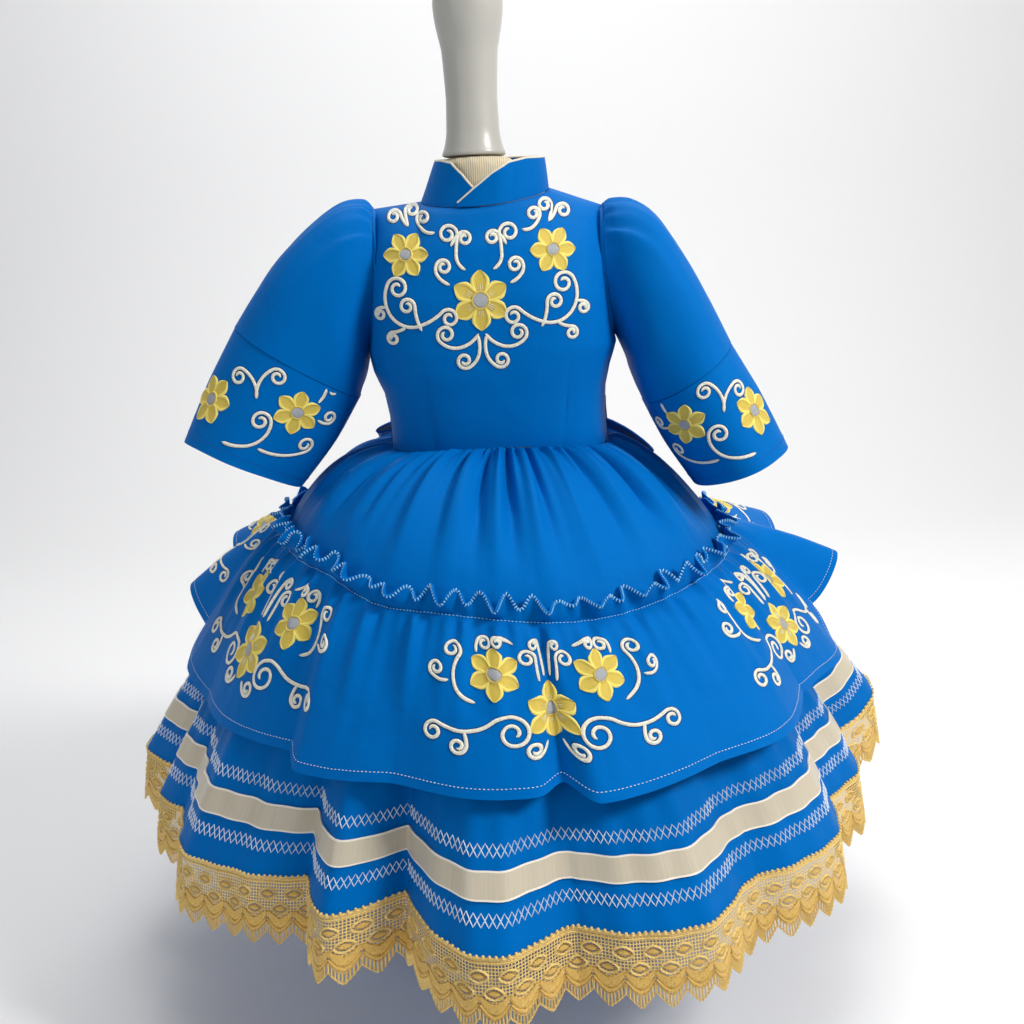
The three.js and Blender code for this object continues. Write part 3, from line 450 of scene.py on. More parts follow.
class Flounce(Surface):
    """The embroidered flounce with its ruffled heading; v is millimetres along it."""

    creases = Creases(SEED + 2, 1.5, 22, 5)

    def points(self, u: Array, v: Array) -> Array:
        """Returns points; u is the angle and v the length from the stitch line."""
        base = flounce_base(u, v)
        turn = np.radians(u)
        share = np.clip(v / FLOUNCE_LENGTH, 0, 1)
        small = np.cos(np.radians(104 * u + 80 * np.sin(5 * turn)))
        medium = np.cos(np.radians(63 * u + 120 * np.sin(2 * turn) + 40))
        below = np.exp(-share * 4) * np.clip(share * 20, 0, 1)
        above = np.clip(-v / HEADING_HEIGHT, 0, 1)
        out = (2.2 * small + 3.4 * medium) * below + (2.4 * small + 5.0 * medium) * above ** 1.3
        out = out + self.creases.at(turn, share) * np.clip(share * 4, 0, 1)
        pinch = wrapped(u - MIDDLE_GROUP)
        groove = np.exp(-((pinch / (1.2 + 1.4 * share)) ** 2))
        out = out - GROUP_PINCH * groove * np.clip(share * 5, 0, 1)
        uneven = 1 + 0.45 * np.sin(7 * turn + 2) + 0.25 * np.sin(17 * turn)
        lift = -4.4 * medium * above * uneven
        return base + polar(u, out, lift)


class LowerTier(Surface):
    """The lower tier, from the flounce's seam to the lace; v goes from 0 to 1."""

    creases = Creases(SEED + 3, 1.7, 30, 4)

    def points(self, u: Array, v: Array) -> Array:
        """Returns points; u is the angle and v goes from 0 to 1."""
        base = lower_base(u, v)
        turn = np.radians(u)
        puckers = np.cos(np.radians(70 * u + 90 * np.sin(4 * turn)))
        out = 2.4 * puckers * np.exp(-v * 1.2) * np.clip(v * 10, 0, 1)
        out = out + self.creases.at(turn, v) * np.clip(v * 3, 0, 1)
        return base + polar(u, out, np.zeros_like(out))


@dataclass
class Sleeve(Surface):
    """A puffed upper sleeve or a flared cuff, ring by ring."""

    rings: Array
    head: bool
    seed: int

    @property
    def side(self) -> float:
        """Returns -1 for the left sleeve and 1 for the right one."""
        return float(np.sign(self.rings[0, 0]))

    def ring(self, v: Array) -> Array:
        """Returns the ring's measures at v rings down, on a smooth line through them."""
        last = len(self.rings) - 1
        low = np.clip(np.floor(v).astype(int), 0, last - 1)
        t = (np.clip(v, 0, last) - low)[..., None]
        before = self.rings[np.maximum(low - 1, 0)]
        a = self.rings[low]
        b = self.rings[low + 1]
        after = self.rings[np.minimum(low + 2, last)]
        slope_a = np.where(low[..., None] > 0, (b - before) / 2, b - a)
        slope_b = np.where(low[..., None] + 2 <= last, (after - a) / 2, b - a)
        return (
            (2 * t ** 3 - 3 * t ** 2 + 1) * a + (t ** 3 - 2 * t ** 2 + t) * slope_a
            + (3 * t ** 2 - 2 * t ** 3) * b + (t ** 3 - t ** 2) * slope_b
        )

    def points(self, u: Array, v: Array) -> Array:
        """Returns points; u is 0 on the outer edge, 90 in front and 180 inside."""
        ring = self.ring(v)
        turn = np.radians(u)
        lengthwise = (1 + np.cos(turn)) / 2
        front = np.sin(turn)
        crown = np.maximum(0, np.cos(turn)) ** 0.5
        gathers = ring[..., 7] * crown * np.cos(12 * turn)
        if self.head:
            fine = np.cos(25 * turn + 1.8 * np.sin(3 * turn)) * np.exp(-v * 0.75)
            gathers = gathers + 3.4 * crown * fine * np.clip(v * 4, 0, 1)
        sag = ring[..., 6] * np.where(front > 0, front, -0.3 * front)
        base = column(
            mix(ring[..., 2], ring[..., 0], lengthwise),
            ring[..., 5] - ring[..., 4] * np.sign(front) * np.abs(front) ** 0.9,
            mix(ring[..., 3], ring[..., 1], lengthwise) - sag,
        )
        across = unit(column(ring[..., 0] - ring[..., 2], 0 * v, ring[..., 1] - ring[..., 3]))
        point = base + across * gathers[..., None]
        soft = Creases(self.seed, 1.3, 5, 1.6).at(turn, v)
        out = unit(column(np.cos(turn) * across[..., 0], -front, np.cos(turn) * across[..., 2]))
        point = point + out * (soft * np.clip(v, 0, 1))[..., None]
        if self.head:
            start = armhole(self.rings, u)
            point = mix(start, point, ease(v)[..., None])
        return point


class BodiceFace(Surface):
    """The front or the back of the bodice.

    u is the column: 0 to 6 up the left armhole, 9 to 17 round the neck and 20 to 26 down
    the right armhole. v goes from 0 at the upper edge to 1 at the waist.
    """

    columns = 26

    def __init__(self, face: int) -> None:
        """Takes 1 for the front and -1 for the back."""
        self.face = face
        self.creases = Creases(SEED + 5 + face, 0.35, 4, 7)

    def upper_edge(self, u: Array) -> Array:
        """Returns the points of the upper edge at each column."""
        face = self.face
        left = armhole(SLEEVE_LEFT, face * (180 - 30 * u))
        right = armhole(SLEEVE_RIGHT, face * 30 * (u - 20))
        neck_at = -90 + 22.5 * (u - 9)
        neck = neck_hole(neck_at if face > 0 else 180 - neck_at)
        tip_left = armhole(SLEEVE_LEFT, np.zeros_like(u))
        tip_right = armhole(SLEEVE_RIGHT, np.zeros_like(u))
        side_left = neck_hole(np.full_like(u, -90.0))
        side_right = neck_hole(np.full_like(u, 90.0))
        edge = np.where((u < 6)[..., None], left, neck)
        over = (u >= 6) & (u < 9)
        edge = np.where(over[..., None], mix(tip_left, side_left, ((u - 6) / 3)[..., None]), edge)
        over = (u > 17) & (u <= 20)
        edge = np.where(
            over[..., None], mix(side_right, tip_right, ((u - 17) / 3)[..., None]), edge,
        )
        return np.where((u > 20)[..., None], right, edge)

    def points(self, u: Array, v: Array) -> Array:
        """Returns points; u is the column and v goes from the upper edge to the waist."""
        face = self.face
        up = 1 - v
        top = self.upper_edge(u)
        angle = mix(-90.0, 90.0, u / self.columns)
        low = waist(angle if face > 0 else 180 - angle)
        q_low = (low[..., 0] - WAIST_X) / WAIST_HALF
        centre = body(4, top[..., 2])
        half = body(1, top[..., 2])
        across = (top[..., 0] - centre) / half
        limit = np.clip(across, -SIDE_LIMIT, SIDE_LIMIT)
        q_top = np.where(np.abs(angle) > 89.9, np.sign(angle), limit)
        short = top[..., 0] - centre - half * q_top
        turn = np.minimum(SHOULDER_TURN, mix(low[..., 2], top[..., 2], 0.55))
        z = mix(low[..., 2], top[..., 2], up)
        q = mix(q_low, q_top, up)
        from_side = np.minimum(u, self.columns - u)
        in_shoulder = 1 - (from_side - 6) / 3
        near = np.minimum(1, np.minimum(from_side, np.maximum(0, in_shoulder)))
        crease = np.where(up < 1, near * ARMHOLE_CREASE * up ** 6 * np.sign(q_top), 0)
        x = body(4, z) + body(1, z) * q + short * up * up - crease
        depth = -face * body(2 if face > 0 else 3, z) * rounded(q, squareness(z))
        rise = np.maximum(0, (z - turn) / np.maximum(top[..., 2] - turn, 1e-6))
        keep = rounded(np.minimum(rise, 1), 2.2)
        inside = np.clip(np.minimum(up, v) * 8, 0, 1) * np.clip(from_side, 0, 1)
        out = self.creases.at(q * 2, v * 1.5) * inside
        out = out - self.darts(x, z) * np.clip(v * 4, 0, 1)
        return column(x, mix(top[..., 1], depth, keep) - face * out - face * GAP / 2, z)

    def darts(self, x: Array, z: Array) -> Array:
        """Returns how deep the waist darts' seams sink."""
        tip = 84.0 if self.face > 0 else 70.0
        taper = np.clip((tip - z) / 12, 0, 1)
        total = np.zeros_like(x)
        for side in (-1, 1):
            line = WAIST_X + side * mix(56.0, 64.0, np.clip(z / tip, 0, 1))
            off = (x - line) * side
            seam = 1.3 * np.exp(-((off / 1.1) ** 2))
            hollow = 0.7 * np.exp(-((off - 5) / 5.5) ** 2)
            total = total + (seam + hollow) * taper
        return total


# ---- meshes -------------------------------------------------------------------------------
def to_metres(points: Array) -> Array:
    """Returns points above the floor in metres, from millimetres about the waist."""
    return (np.asarray(points, dtype=float) + (0, 0, WAIST_HEIGHT)) / 1000


def linked(name: str, data: bpy.types.ID) -> bpy.types.Object:
    """Returns a new object of the scene that shows the data."""
    item = bpy.data.objects.new(name, data)
    bpy.context.scene.collection.objects.link(item)
    return item


def make_mesh(
    name: str, points: Array, faces: Sequence[Array], uvs: Sequence[Array] | None = None,
    sharp: float = 50.0,
) -> bpy.types.Object:
    """Makes a mesh object from millimetre points.

    Args:
        name: the object's name.
        points: N by 3, about the waist.
        faces: arrays of vertex numbers, each M by 3, 4 or 5.
        uvs: for each array of faces, M by corners by 2, in metres.
        sharp: degrees between faces from which an edge stays sharp.

    Returns:
        The linked object, at the origin.
    """
    mesh = bpy.data.meshes.new(name)
    mesh.vertices.add(len(points))
    mesh.vertices.foreach_set("co", to_metres(points).ravel())
    loops = np.concatenate([f.ravel() for f in faces])
    sizes = np.concatenate([np.full(len(f), f.shape[1]) for f in faces])
    mesh.loops.add(len(loops))
    mesh.loops.foreach_set("vertex_index", loops.astype(np.int32))
    mesh.polygons.add(len(sizes))
    starts = np.concatenate([[0], np.cumsum(sizes)[:-1]])
    mesh.polygons.foreach_set("loop_start", starts.astype(np.int32))
    mesh.update(calc_edges=True)
    if uvs is not None:
        layer = mesh.uv_layers.new(name="cloth")
        layer.data.foreach_set("uv", np.concatenate([u.ravel() for u in uvs]).astype(float))
    mesh.polygons.foreach_set("use_smooth", np.ones(len(sizes), dtype=bool))
    mesh.validate()
    mesh.set_sharp_from_angle(angle=math.radians(sharp))
    return linked(name, mesh)


def grid_normals(grid: Array, closed: bool) -> Array:
    """Returns outward directions of a grid whose rows run down and columns anticlockwise."""
    if closed:
        along = np.roll(grid, -1, axis=1) - np.roll(grid, 1, axis=1)
    else:
        along = np.gradient(grid, axis=1)
    return unit(np.cross(np.gradient(grid, axis=0), along))


def cloth_lengths(grid: Array, closed: bool) -> tuple[Array, Array]:
    """Returns the lengths along the middle row and down the columns, in metres."""
    middle = grid[len(grid) // 2]
    if closed:
        middle = np.concatenate([middle, middle[:1]])
    steps = np.linalg.norm(np.diff(grid, axis=0), axis=2).mean(axis=1)
    return path_run(middle) / 1000, np.concatenate([[0], np.cumsum(steps)]) / 1000


def cloth_wall(
    name: str, grid: Array, closed: bool, thickness: float = WALL,
) -> bpy.types.Object:
    """Makes a closed wall of cloth inwards from its outside.

    The inside has every second row and column, as it is hardly seen.

    Args:
        name: the object's name.
        grid: rows by columns of points, an odd number of rows; an even number of columns
            round a ring, an odd one on an open piece.
        closed: whether the columns run round a ring.
        thickness: of the cloth, in millimetres.

    Returns:
        The linked object.
    """
    rows, columns = grid.shape[:2]
    inner = (grid - grid_normals(grid, closed) * thickness)[::2, ::2]
    few_rows, few = inner.shape[:2]
    points = np.concatenate([grid.reshape(-1, 3), inner.reshape(-1, 3)])
    across, down = cloth_lengths(grid, closed)
    first = rows * columns

    def outer_at(j: Array, i: Array) -> Array:
        """Returns the numbers of points of the outside."""
        return j * columns + i % columns

    def inner_at(j: Array, i: Array) -> Array:
        """Returns the numbers of points of the inside."""
        return first + j * few + i % few

    def uv_at(j: Array, i: Array) -> Array:
        """Returns the flat measures at points of the outside."""
        return np.stack([across[i], down[j]], axis=-1)

    j, i = cells(rows - 1, columns if closed else columns - 1)
    corners = [(j, i), (j + 1, i), (j + 1, i + 1), (j, i + 1)]
    faces = [np.stack([outer_at(*c) for c in corners], axis=1)]
    uvs = [np.stack([uv_at(*c) for c in corners], axis=1)]
    wide = few if closed else few - 1
    j, i = cells(few_rows - 1, wide)
    corners = [(j, i), (j, i + 1), (j + 1, i + 1), (j + 1, i)]
    faces.append(np.stack([inner_at(*c) for c in corners], axis=1))
    uvs.append(np.stack([uv_at(a * 2, b * 2) for a, b in corners], axis=1))

    def border(j: Array, i: Array, dj: int, di: int, turned: bool) -> None:
        """Joins the outside to the inside along an edge that runs by dj and di."""
        ring = [outer_at(2 * j + s * dj, 2 * i + s * di) for s in range(3)]
        ring += [inner_at(j + dj, i + di), inner_at(j, i)]
        edge_uv = [uv_at(2 * j + s * dj, 2 * i + s * di) for s in range(3)]
        edge_uv += [uv_at(2 * (j + dj), 2 * (i + di)), uv_at(2 * j, 2 * i)]
        order = slice(None, None, -1) if turned else slice(None)
        faces.append(np.stack(ring[order], axis=1))
        uvs.append(np.stack(edge_uv[order], axis=1))

    for row, turned in ((0, False), (few_rows - 1, True)):
        border(np.full(wide, row), np.arange(wide), 0, 1, turned)
    if not closed:
        for end, turned in ((0, True), (few - 1, False)):
            border(np.arange(few_rows - 1), np.full(few_rows - 1, end), 1, 0, turned)
    return make_mesh(name, points, faces, uvs)


def surface_grid(
    surface: Surface, u: Array, v: Array, moved: float = 0.0, closed: bool = True,
) -> Array:
    """Returns a grid of a surface's points, rows by columns, moved outwards if asked."""
    v_grid, u_grid = np.meshgrid(v, u, indexing="ij")
    grid = surface.points(u_grid, v_grid)
    return grid + grid_normals(grid, closed) * moved if moved else grid


def around(count: int) -> Array:
    """Returns count angles round a whole turn."""
    return np.linspace(-180, 180, count, endpoint=False)


# ---- node trees ---------------------------------------------------------------------------
class NodePen:
    """Adds nodes to one tree and joins them."""

    def __init__(self, tree: bpy.types.NodeTree) -> None:
        """Takes the tree to draw in."""
        self.tree = tree

    def add(self, kind: str, inputs: dict | None = None, **settings: object) -> bpy.types.Node:
        """Adds a node.

        Args:
            kind: Blender's name of the node's type.
            inputs: values or sockets by the input's name or number.
            settings: the node's own properties.

        Returns:
            The node.
        """
        node = self.tree.nodes.new(kind)
        for key, value in settings.items():
            setattr(node, key, value)
        for key, value in (inputs or {}).items():
            self.feed(node.inputs[key], value)
        return node

    def feed(self, socket: bpy.types.NodeSocket, value: object) -> None:
        """Joins a socket to another one, or gives it a value."""
        if isinstance(value, bpy.types.NodeSocket):
            self.tree.links.new(value, socket)
        else:
            socket.default_value = value

    def math(self, operation: str, *values: object) -> bpy.types.NodeSocket:
        """Adds a Math node and returns its result."""
        node = self.add("ShaderNodeMath", dict(enumerate(values)), operation=operation)
        return node.outputs[0]

    def mix_colour(self, factor: object, a: object, b: object) -> bpy.types.NodeSocket:
        """Adds a colour mix and returns its result."""
        node = self.add("ShaderNodeMix", data_type="RGBA")
        self.feed(node.inputs[0], factor)
        self.feed(node.inputs[6], a)
        self.feed(node.inputs[7], b)
        return node.outputs[2]

    def noise(self, vector: object, **inputs: float) -> bpy.types.NodeSocket:
        """Adds a noise texture and returns its value."""
        return self.add("ShaderNodeTexNoise", {"Vector": vector, **inputs}).outputs[0]

    def place(self) -> bpy.types.NodeSocket:
        """Adds and returns the place on the object, in metres."""
        return self.add("ShaderNodeTexCoord").outputs["Object"]

    def measures(self, name: str = "cloth") -> bpy.types.NodeSocket:
        """Adds and returns the piece's own flat measures."""
        return self.add("ShaderNodeUVMap", uv_map=name).outputs[0]

    def parts(self, vector: object) -> Sequence[bpy.types.NodeSocket]:
        """Adds a split of a vector and returns its parts."""
        return self.add("ShaderNodeSeparateXYZ", {0: vector}).outputs

    def pattern_ends(
        self, outputs: Sequence[str], **inputs: float,
    ) -> Sequence[bpy.types.NodeSocket]:
        """Declares a group that reads measures and gives numbers; returns what goes in."""
        socket(self.tree, "Vector", "INPUT", "Vector")
        for name, value in inputs.items():
            socket(self.tree, name, "INPUT", "Float", value)
        for name in outputs:
            socket(self.tree, name, "OUTPUT", "Float")
        return self.add("NodeGroupInput").outputs

    def step(self, value: object, low: float, high: float) -> bpy.types.NodeSocket:
        """Adds a soft step from 0 at low to 1 at high and returns it."""
        inputs = {"Value": value, "From Min": low, "From Max": high}
        node = self.add("ShaderNodeMapRange", inputs, interpolation_type="SMOOTHSTEP")
        return node.outputs["Result"]


def linear(colour: Sequence[int]) -> tuple[float, float, float, float]:
    """Returns a screen colour of 0 to 255 as Blender's own linear colour."""
    c = np.array(colour, dtype=float) / 255
    rgb = np.where(c <= 0.04045, c / 12.92, ((c + 0.055) / 1.055) ** 2.4)
    return (float(rgb[0]), float(rgb[1]), float(rgb[2]), 1.0)


def shaded(colour: Sequence[int], share: float) -> tuple[float, float, float, float]:
    """Returns a share of a screen colour as Blender's own linear colour."""
    return linear([int(c * share) for c in colour])


def socket(tree: bpy.types.NodeTree, name: str, way: str, kind: str, value: object = None) -> None:
    """Adds a named input or output to a node group."""
    item = tree.interface.new_socket(name=name, in_out=way, socket_type="NodeSocket" + kind)
    if value is not None:
        item.default_value = value


class ShaderGroups:
    """The effects that several finishes share, each built once."""

    def __init__(self) -> None:
        """Starts with no group built."""
        self.built: dict[str, bpy.types.NodeTree] = {}

    def get(self, name: str, build: Callable[[NodePen], None]) -> bpy.types.NodeTree:
        """Returns a group, which is built the first time that it is asked for."""
        if name not in self.built:
            tree = bpy.data.node_groups.new(name, "ShaderNodeTree")
            build(NodePen(tree))
            self.built[name] = tree
        return self.built[name]

    @staticmethod
    def weave(pen: NodePen) -> None:
        """Diagonal ribs of a twill with uneven threads, from a cloth's own measures."""
        ends = pen.pattern_ends(("Height", "Thread"), Rib=0.0006)
        parts = pen.parts(ends["Vector"])
        along = pen.math("DIVIDE", parts[0], ends["Rib"])
        down = pen.math("DIVIDE", parts[1], ends["Rib"])
        slubs = pen.noise(ends["Vector"], Scale=900.0)
        drift = pen.math("MULTIPLY", slubs, 1.5)
        rib = pen.math("ADD", pen.math("MULTIPLY_ADD", down, 0.6, along), drift)
        wave = pen.math("SINE", pen.math("MULTIPLY", rib, math.tau))
        cross = pen.math("SINE", pen.math("MULTIPLY", down, math.tau * 1.6))
        height = pen.math("MULTIPLY_ADD", cross, 0.3, wave)
        pen.add("NodeGroupOutput", {"Height": height, "Thread": slubs})

    @staticmethod
    def unevenness(pen: NodePen) -> None:
        """A colour that is lighter and darker by patches, as handled cloth and paint are."""
        socket(pen.tree, "Color", "INPUT", "Color")
        socket(pen.tree, "Amount", "INPUT", "Float", 0.1)
        socket(pen.tree, "Scale", "INPUT", "Float", 20.0)
        socket(pen.tree, "Color", "OUTPUT", "Color")
        socket(pen.tree, "Patch", "OUTPUT", "Float")
        ends = pen.add("NodeGroupInput").outputs
        patch = pen.noise(pen.place(), Scale=ends["Scale"], Detail=4.0, Roughness=0.6)
        swing = pen.math("MULTIPLY", pen.math("SUBTRACT", patch, 0.5), ends["Amount"])
        value = pen.math("ADD", swing, 1.0)
        toned = pen.add("ShaderNodeHueSaturation", {"Value": value, "Color": ends["Color"]})
        pen.add("NodeGroupOutput", {"Color": toned.outputs[0], "Patch": patch})

    @staticmethod
    def threads(pen: NodePen) -> None:
        """Close satin threads that cross a band, from its measures along and across."""
        ends = pen.pattern_ends(("Height", "Shade"), Pitch=0.0004, Slant=0.3)
        parts = pen.parts(ends["Vector"])
        wander = pen.noise(ends["Vector"], Scale=500.0)
        line = pen.math("MULTIPLY_ADD", parts[0], ends["Slant"], parts[1])
        line = pen.math("ADD", pen.math("DIVIDE", line, ends["Pitch"]), wander)
        wave = pen.math("SINE", pen.math("MULTIPLY", line, math.tau))
        shade = pen.math("MULTIPLY_ADD", wander, 0.8, pen.math("MULTIPLY", wave, 0.2))
        pen.add("NodeGroupOutput", {"Height": wave, "Shade": shade})

    @staticmethod
    def net(pen: NodePen) -> None:
        """The holes of the lace's ground: a square net and two rows of open lenses."""
        ends = pen.pattern_ends(("Alpha", "Height"), Mesh=0.0018, Pitch=0.0233)
        parts = pen.parts(ends["Vector"])
        holes = []
        for part in parts[:2]:
            cell = pen.math("FRACT", pen.math("DIVIDE", part, ends["Mesh"]))
            off = pen.math("ABSOLUTE", pen.math("SUBTRACT", cell, 0.5))
            holes.append(pen.step(off, 0.37, 0.28))
        alpha = pen.math("SUBTRACT", 1.0, pen.math("MULTIPLY", holes[0], holes[1]))
        for row in LENS_ROWS:
            scallops = pen.math("DIVIDE", parts[0], ends["Pitch"])
            cell = pen.math("FRACT", pen.math("ADD", scallops, 0.5 - row.shift))
            x = pen.math("MULTIPLY", pen.math("SUBTRACT", cell, 0.5), PITCH / LENS_HALF_WIDTH)
            y = pen.math("SUBTRACT", parts[1], row.drop / 1000)
            y = pen.math("DIVIDE", y, LENS_HALF_HEIGHT / 1000)
            reach = pen.math("ADD", pen.math("MULTIPLY", x, x), pen.math("MULTIPLY", y, y))
            alpha = pen.math("MULTIPLY", alpha, pen.math("GREATER_THAN", reach, 0.9))
        pen.add("NodeGroupOutput", {"Alpha": alpha, "Height": alpha})


GROUPS = ShaderGroups()


# ---- finishes -----------------------------------------------------------------------------
@dataclass(frozen=True)
class Finish:
    """A finish of one colour with soft patches; the other finishes add their own detail."""

    name: str
    colour: tuple[int, int, int]
    roughness: float = 0.6
    specular: float = 0.4
    sheen: float = 0.0
    sheen_colour: tuple[int, int, int] = (255, 255, 255)
    sheen_roughness: float = 0.4
    coat: float = 0.0
    anisotropic: float = 0.0
    patches: float = 0.12
    patch_scale: float = 18.0

    def material(self) -> bpy.types.Material:
        """Builds the material."""
        made = bpy.data.materials.get(self.name)
        if made:
            return made
        made = bpy.data.materials.new(self.name)
        made.use_nodes = True
        made.node_tree.nodes.clear()
        made.diffuse_color = linear(self.colour)
        pen = NodePen(made.node_tree)
        shader = pen.add("ShaderNodeBsdfPrincipled", {
            "Roughness": self.roughness, "Specular IOR Level": self.specular,
            "Sheen Weight": self.sheen, "Sheen Roughness": self.sheen_roughness,
            "Sheen Tint": linear(self.sheen_colour), "Coat Weight": self.coat,
            "Specular Tint": linear(self.sheen_colour),
            "Coat Roughness": 0.2, "Anisotropic": self.anisotropic,
        })
        pen.add("ShaderNodeOutputMaterial", {"Surface": shader.outputs[0]})
        self.dress(pen, shader)
        return made

    def toned(self, pen: NodePen, colour: object) -> bpy.types.NodeSocket:
        """Returns a colour with the finish's soft patches."""
        group = GROUPS.get("unevenness", GROUPS.unevenness)
        node = pen.add("ShaderNodeGroup", node_tree=group)
        pen.feed(node.inputs["Color"], colour)
        node.inputs["Amount"].default_value = self.patches
        node.inputs["Scale"].default_value = self.patch_scale
        return node.outputs["Color"]

    def pattern(self, pen: NodePen, name: str, **values: float) -> bpy.types.Node:
        """Adds a shared pattern that reads the piece's own cloth measures."""
        builders = {"weave": GROUPS.weave, "threads": GROUPS.threads, "net": GROUPS.net}
        node = pen.add("ShaderNodeGroup", node_tree=GROUPS.get(name, builders[name]))
        pen.feed(node.inputs["Vector"], pen.measures())
        for key, value in values.items():
            node.inputs[key].default_value = value
        return node

    def paint(self, pen: NodePen, shader: bpy.types.Node, colour: object) -> None:
        """Gives the shader a colour with the finish's soft patches."""
        pen.feed(shader.inputs["Base Color"], self.toned(pen, colour))

    def bump(
        self, pen: NodePen, shader: bpy.types.Node, height: object, strength: float,
        distance: float,
    ) -> None:
        """Gives the shader a bump of the stated height in metres."""
        inputs = {"Height": height, "Strength": strength, "Distance": distance}
        bump = pen.add("ShaderNodeBump", inputs)
        pen.feed(shader.inputs["Normal"], bump.outputs[0])

    def dress(self, pen: NodePen, shader: bpy.types.Node) -> None:
        """Adds what this finish has: here its patches and a fine grain."""
        self.paint(pen, shader, linear(self.colour))
        grain = pen.noise(pen.place(), Scale=700.0, Detail=3.0)
        self.bump(pen, shader, grain, 0.25, 0.0002)


@dataclass(frozen=True)
class Twill(Finish):
    """Woven cloth with diagonal ribs."""

    rib: float = 0.0006
    relief: float = 0.35

    def dress(self, pen: NodePen, shader: bpy.types.Node) -> None:
        """Adds the weave, its uneven threads and soft crumples."""
        weave = self.pattern(pen, "weave", Rib=self.rib)
        dark = shaded(self.colour, 0.93)
        self.paint(
            pen, shader, pen.mix_colour(weave.outputs["Thread"], dark, linear(self.colour)),
        )
        crumple = pen.noise(pen.place(), Scale=22.0, Detail=3.0, Distortion=0.6)
        fine = pen.math("MULTIPLY", weave.outputs["Height"], 0.00006)
        height = pen.math("MULTIPLY_ADD", crumple, 0.005, fine)
        self.bump(pen, shader, height, self.relief, 1.0)


@dataclass(frozen=True)
class Thread(Finish):
    """Satin stitches that lie side by side across a cord."""

    pitch: float = 0.0005
    slant: float = 0.3
    shadow: tuple[int, int, int] = (186, 182, 162)

    def dress(self, pen: NodePen, shader: bpy.types.Node) -> None:
        """Adds the threads' ridges and their shadow lines."""
        threads = self.pattern(pen, "threads", Pitch=self.pitch, Slant=self.slant)
        shade = pen.step(threads.outputs["Shade"], 0.0, 0.55)
        self.paint(pen, shader, pen.mix_colour(shade, linear(self.shadow), linear(self.colour)))
        self.bump(pen, shader, threads.outputs["Height"], 0.5, 0.00012)


@dataclass(frozen=True)
class Petal(Finish):
    """Applique of a petal: a satin rim round a hatched field."""

    field_colour: tuple[int, int, int] = (232, 204, 88)
    rim: float = 0.33

    def dress(self, pen: NodePen, shader: bpy.types.Node) -> None:
        """Adds the lighter rim, the hatching and the stitches' ridges."""
        off = pen.math("ABSOLUTE", pen.parts(pen.measures("share"))[0])
        rim = pen.step(off, self.rim - 0.03, self.rim + 0.03)
        threads = self.pattern(pen, "threads", Pitch=0.0011, Slant=1.3)
        hatch = pen.step(threads.outputs["Height"], -0.9, 0.4)
        dark = shaded(self.field_colour, 0.8)
        field_tone = pen.mix_colour(hatch, dark, linear(self.field_colour))
        self.paint(pen, shader, pen.mix_colour(rim, field_tone, linear(self.colour)))
        self.bump(pen, shader, threads.outputs["Height"], 0.5, 0.00015)


@dataclass(frozen=True)
class Lattice(Finish):
    """Silver stitches laid crosswise over a dark ground."""

    pitch: float = 0.0012

    def dress(self, pen: NodePen, shader: bpy.types.Node) -> None:
        """Adds the crossing threads and the dark ground between them."""
        heights = []
        for slant in (1.0, -1.0):
            threads = self.pattern(pen, "threads", Pitch=self.pitch, Slant=slant)
            heights.append(threads.outputs["Height"])
        top = pen.math("MAXIMUM", *heights)
        shade = pen.step(top, -0.1, 0.8)
        colour = pen.mix_colour(shade, shaded(self.colour, 0.45), linear(self.colour))
        pen.feed(shader.inputs["Base Color"], colour)
        self.bump(pen, shader, top, 0.6, 0.0003)


@dataclass(frozen=True)
class Ribbon(Finish):
    """Satin ribbon with woven edges and fine threads across."""

    width: float = RIBBON_WIDTH / 1000
    edge_colour: tuple[int, int, int] = (240, 233, 218)

    def dress(self, pen: NodePen, shader: bpy.types.Node) -> None:
        """Adds the lighter edges and the cross threads."""
        measures = pen.measures()
        down = pen.parts(measures)[1]
        off = pen.math("ABSOLUTE", pen.math("SUBTRACT", down, self.width / 2))
        edge = pen.step(off, self.width / 2 - 0.0019, self.width / 2 - 0.0011)
        squeezed = pen.add("ShaderNodeMapping", {"Vector": measures, "Scale": (900.0, 14.0, 1.0)})
        streak = pen.noise(squeezed.outputs[0], Scale=1.0)
        cloth = pen.mix_colour(streak, shaded(self.colour, 0.86), linear(self.colour))
        self.paint(pen, shader, pen.mix_colour(edge, cloth, linear(self.edge_colour)))
        height = pen.math("MULTIPLY_ADD", edge, 1.5, streak)
        self.bump(pen, shader, height, 0.4, 0.0002)


@dataclass(frozen=True)
class Net(Finish):
    """The lace's thread ground, open between its threads, with shaded gaps."""

    hole_shade: tuple[int, int, int] = (40, 30, 22)

    def dress(self, pen: NodePen, shader: bpy.types.Node) -> None:
        """Adds the holes and the threads' colour."""
        net = self.pattern(pen, "net", Mesh=PITCH / 9000, Pitch=PITCH / 1000)
        thread = net.outputs["Alpha"]
        colour = pen.mix_colour(thread, linear(self.hole_shade), linear(self.colour))
        self.paint(pen, shader, colour)
        pen.feed(shader.inputs["Alpha"], pen.math("MULTIPLY_ADD", thread, 0.6, 0.4))
        self.bump(pen, shader, net.outputs["Height"], 0.5, 0.0003)


@dataclass(frozen=True)
class Jersey(Finish):
    """Fine ribbed knit."""

    def dress(self, pen: NodePen, shader: bpy.types.Node) -> None:
        """Adds the knit's upright ribs."""
        inputs = {"Vector": pen.place(), "Scale": 160.0, "Distortion": 0.6, "Detail": 1.0}
        ribs = pen.add("ShaderNodeTexWave", inputs, bands_direction="X").outputs[1]
        dark = shaded(self.colour, 0.84)
        self.paint(pen, shader, pen.mix_colour(ribs, dark, linear(self.colour)))
        self.bump(pen, shader, ribs, 0.5, 0.0004)


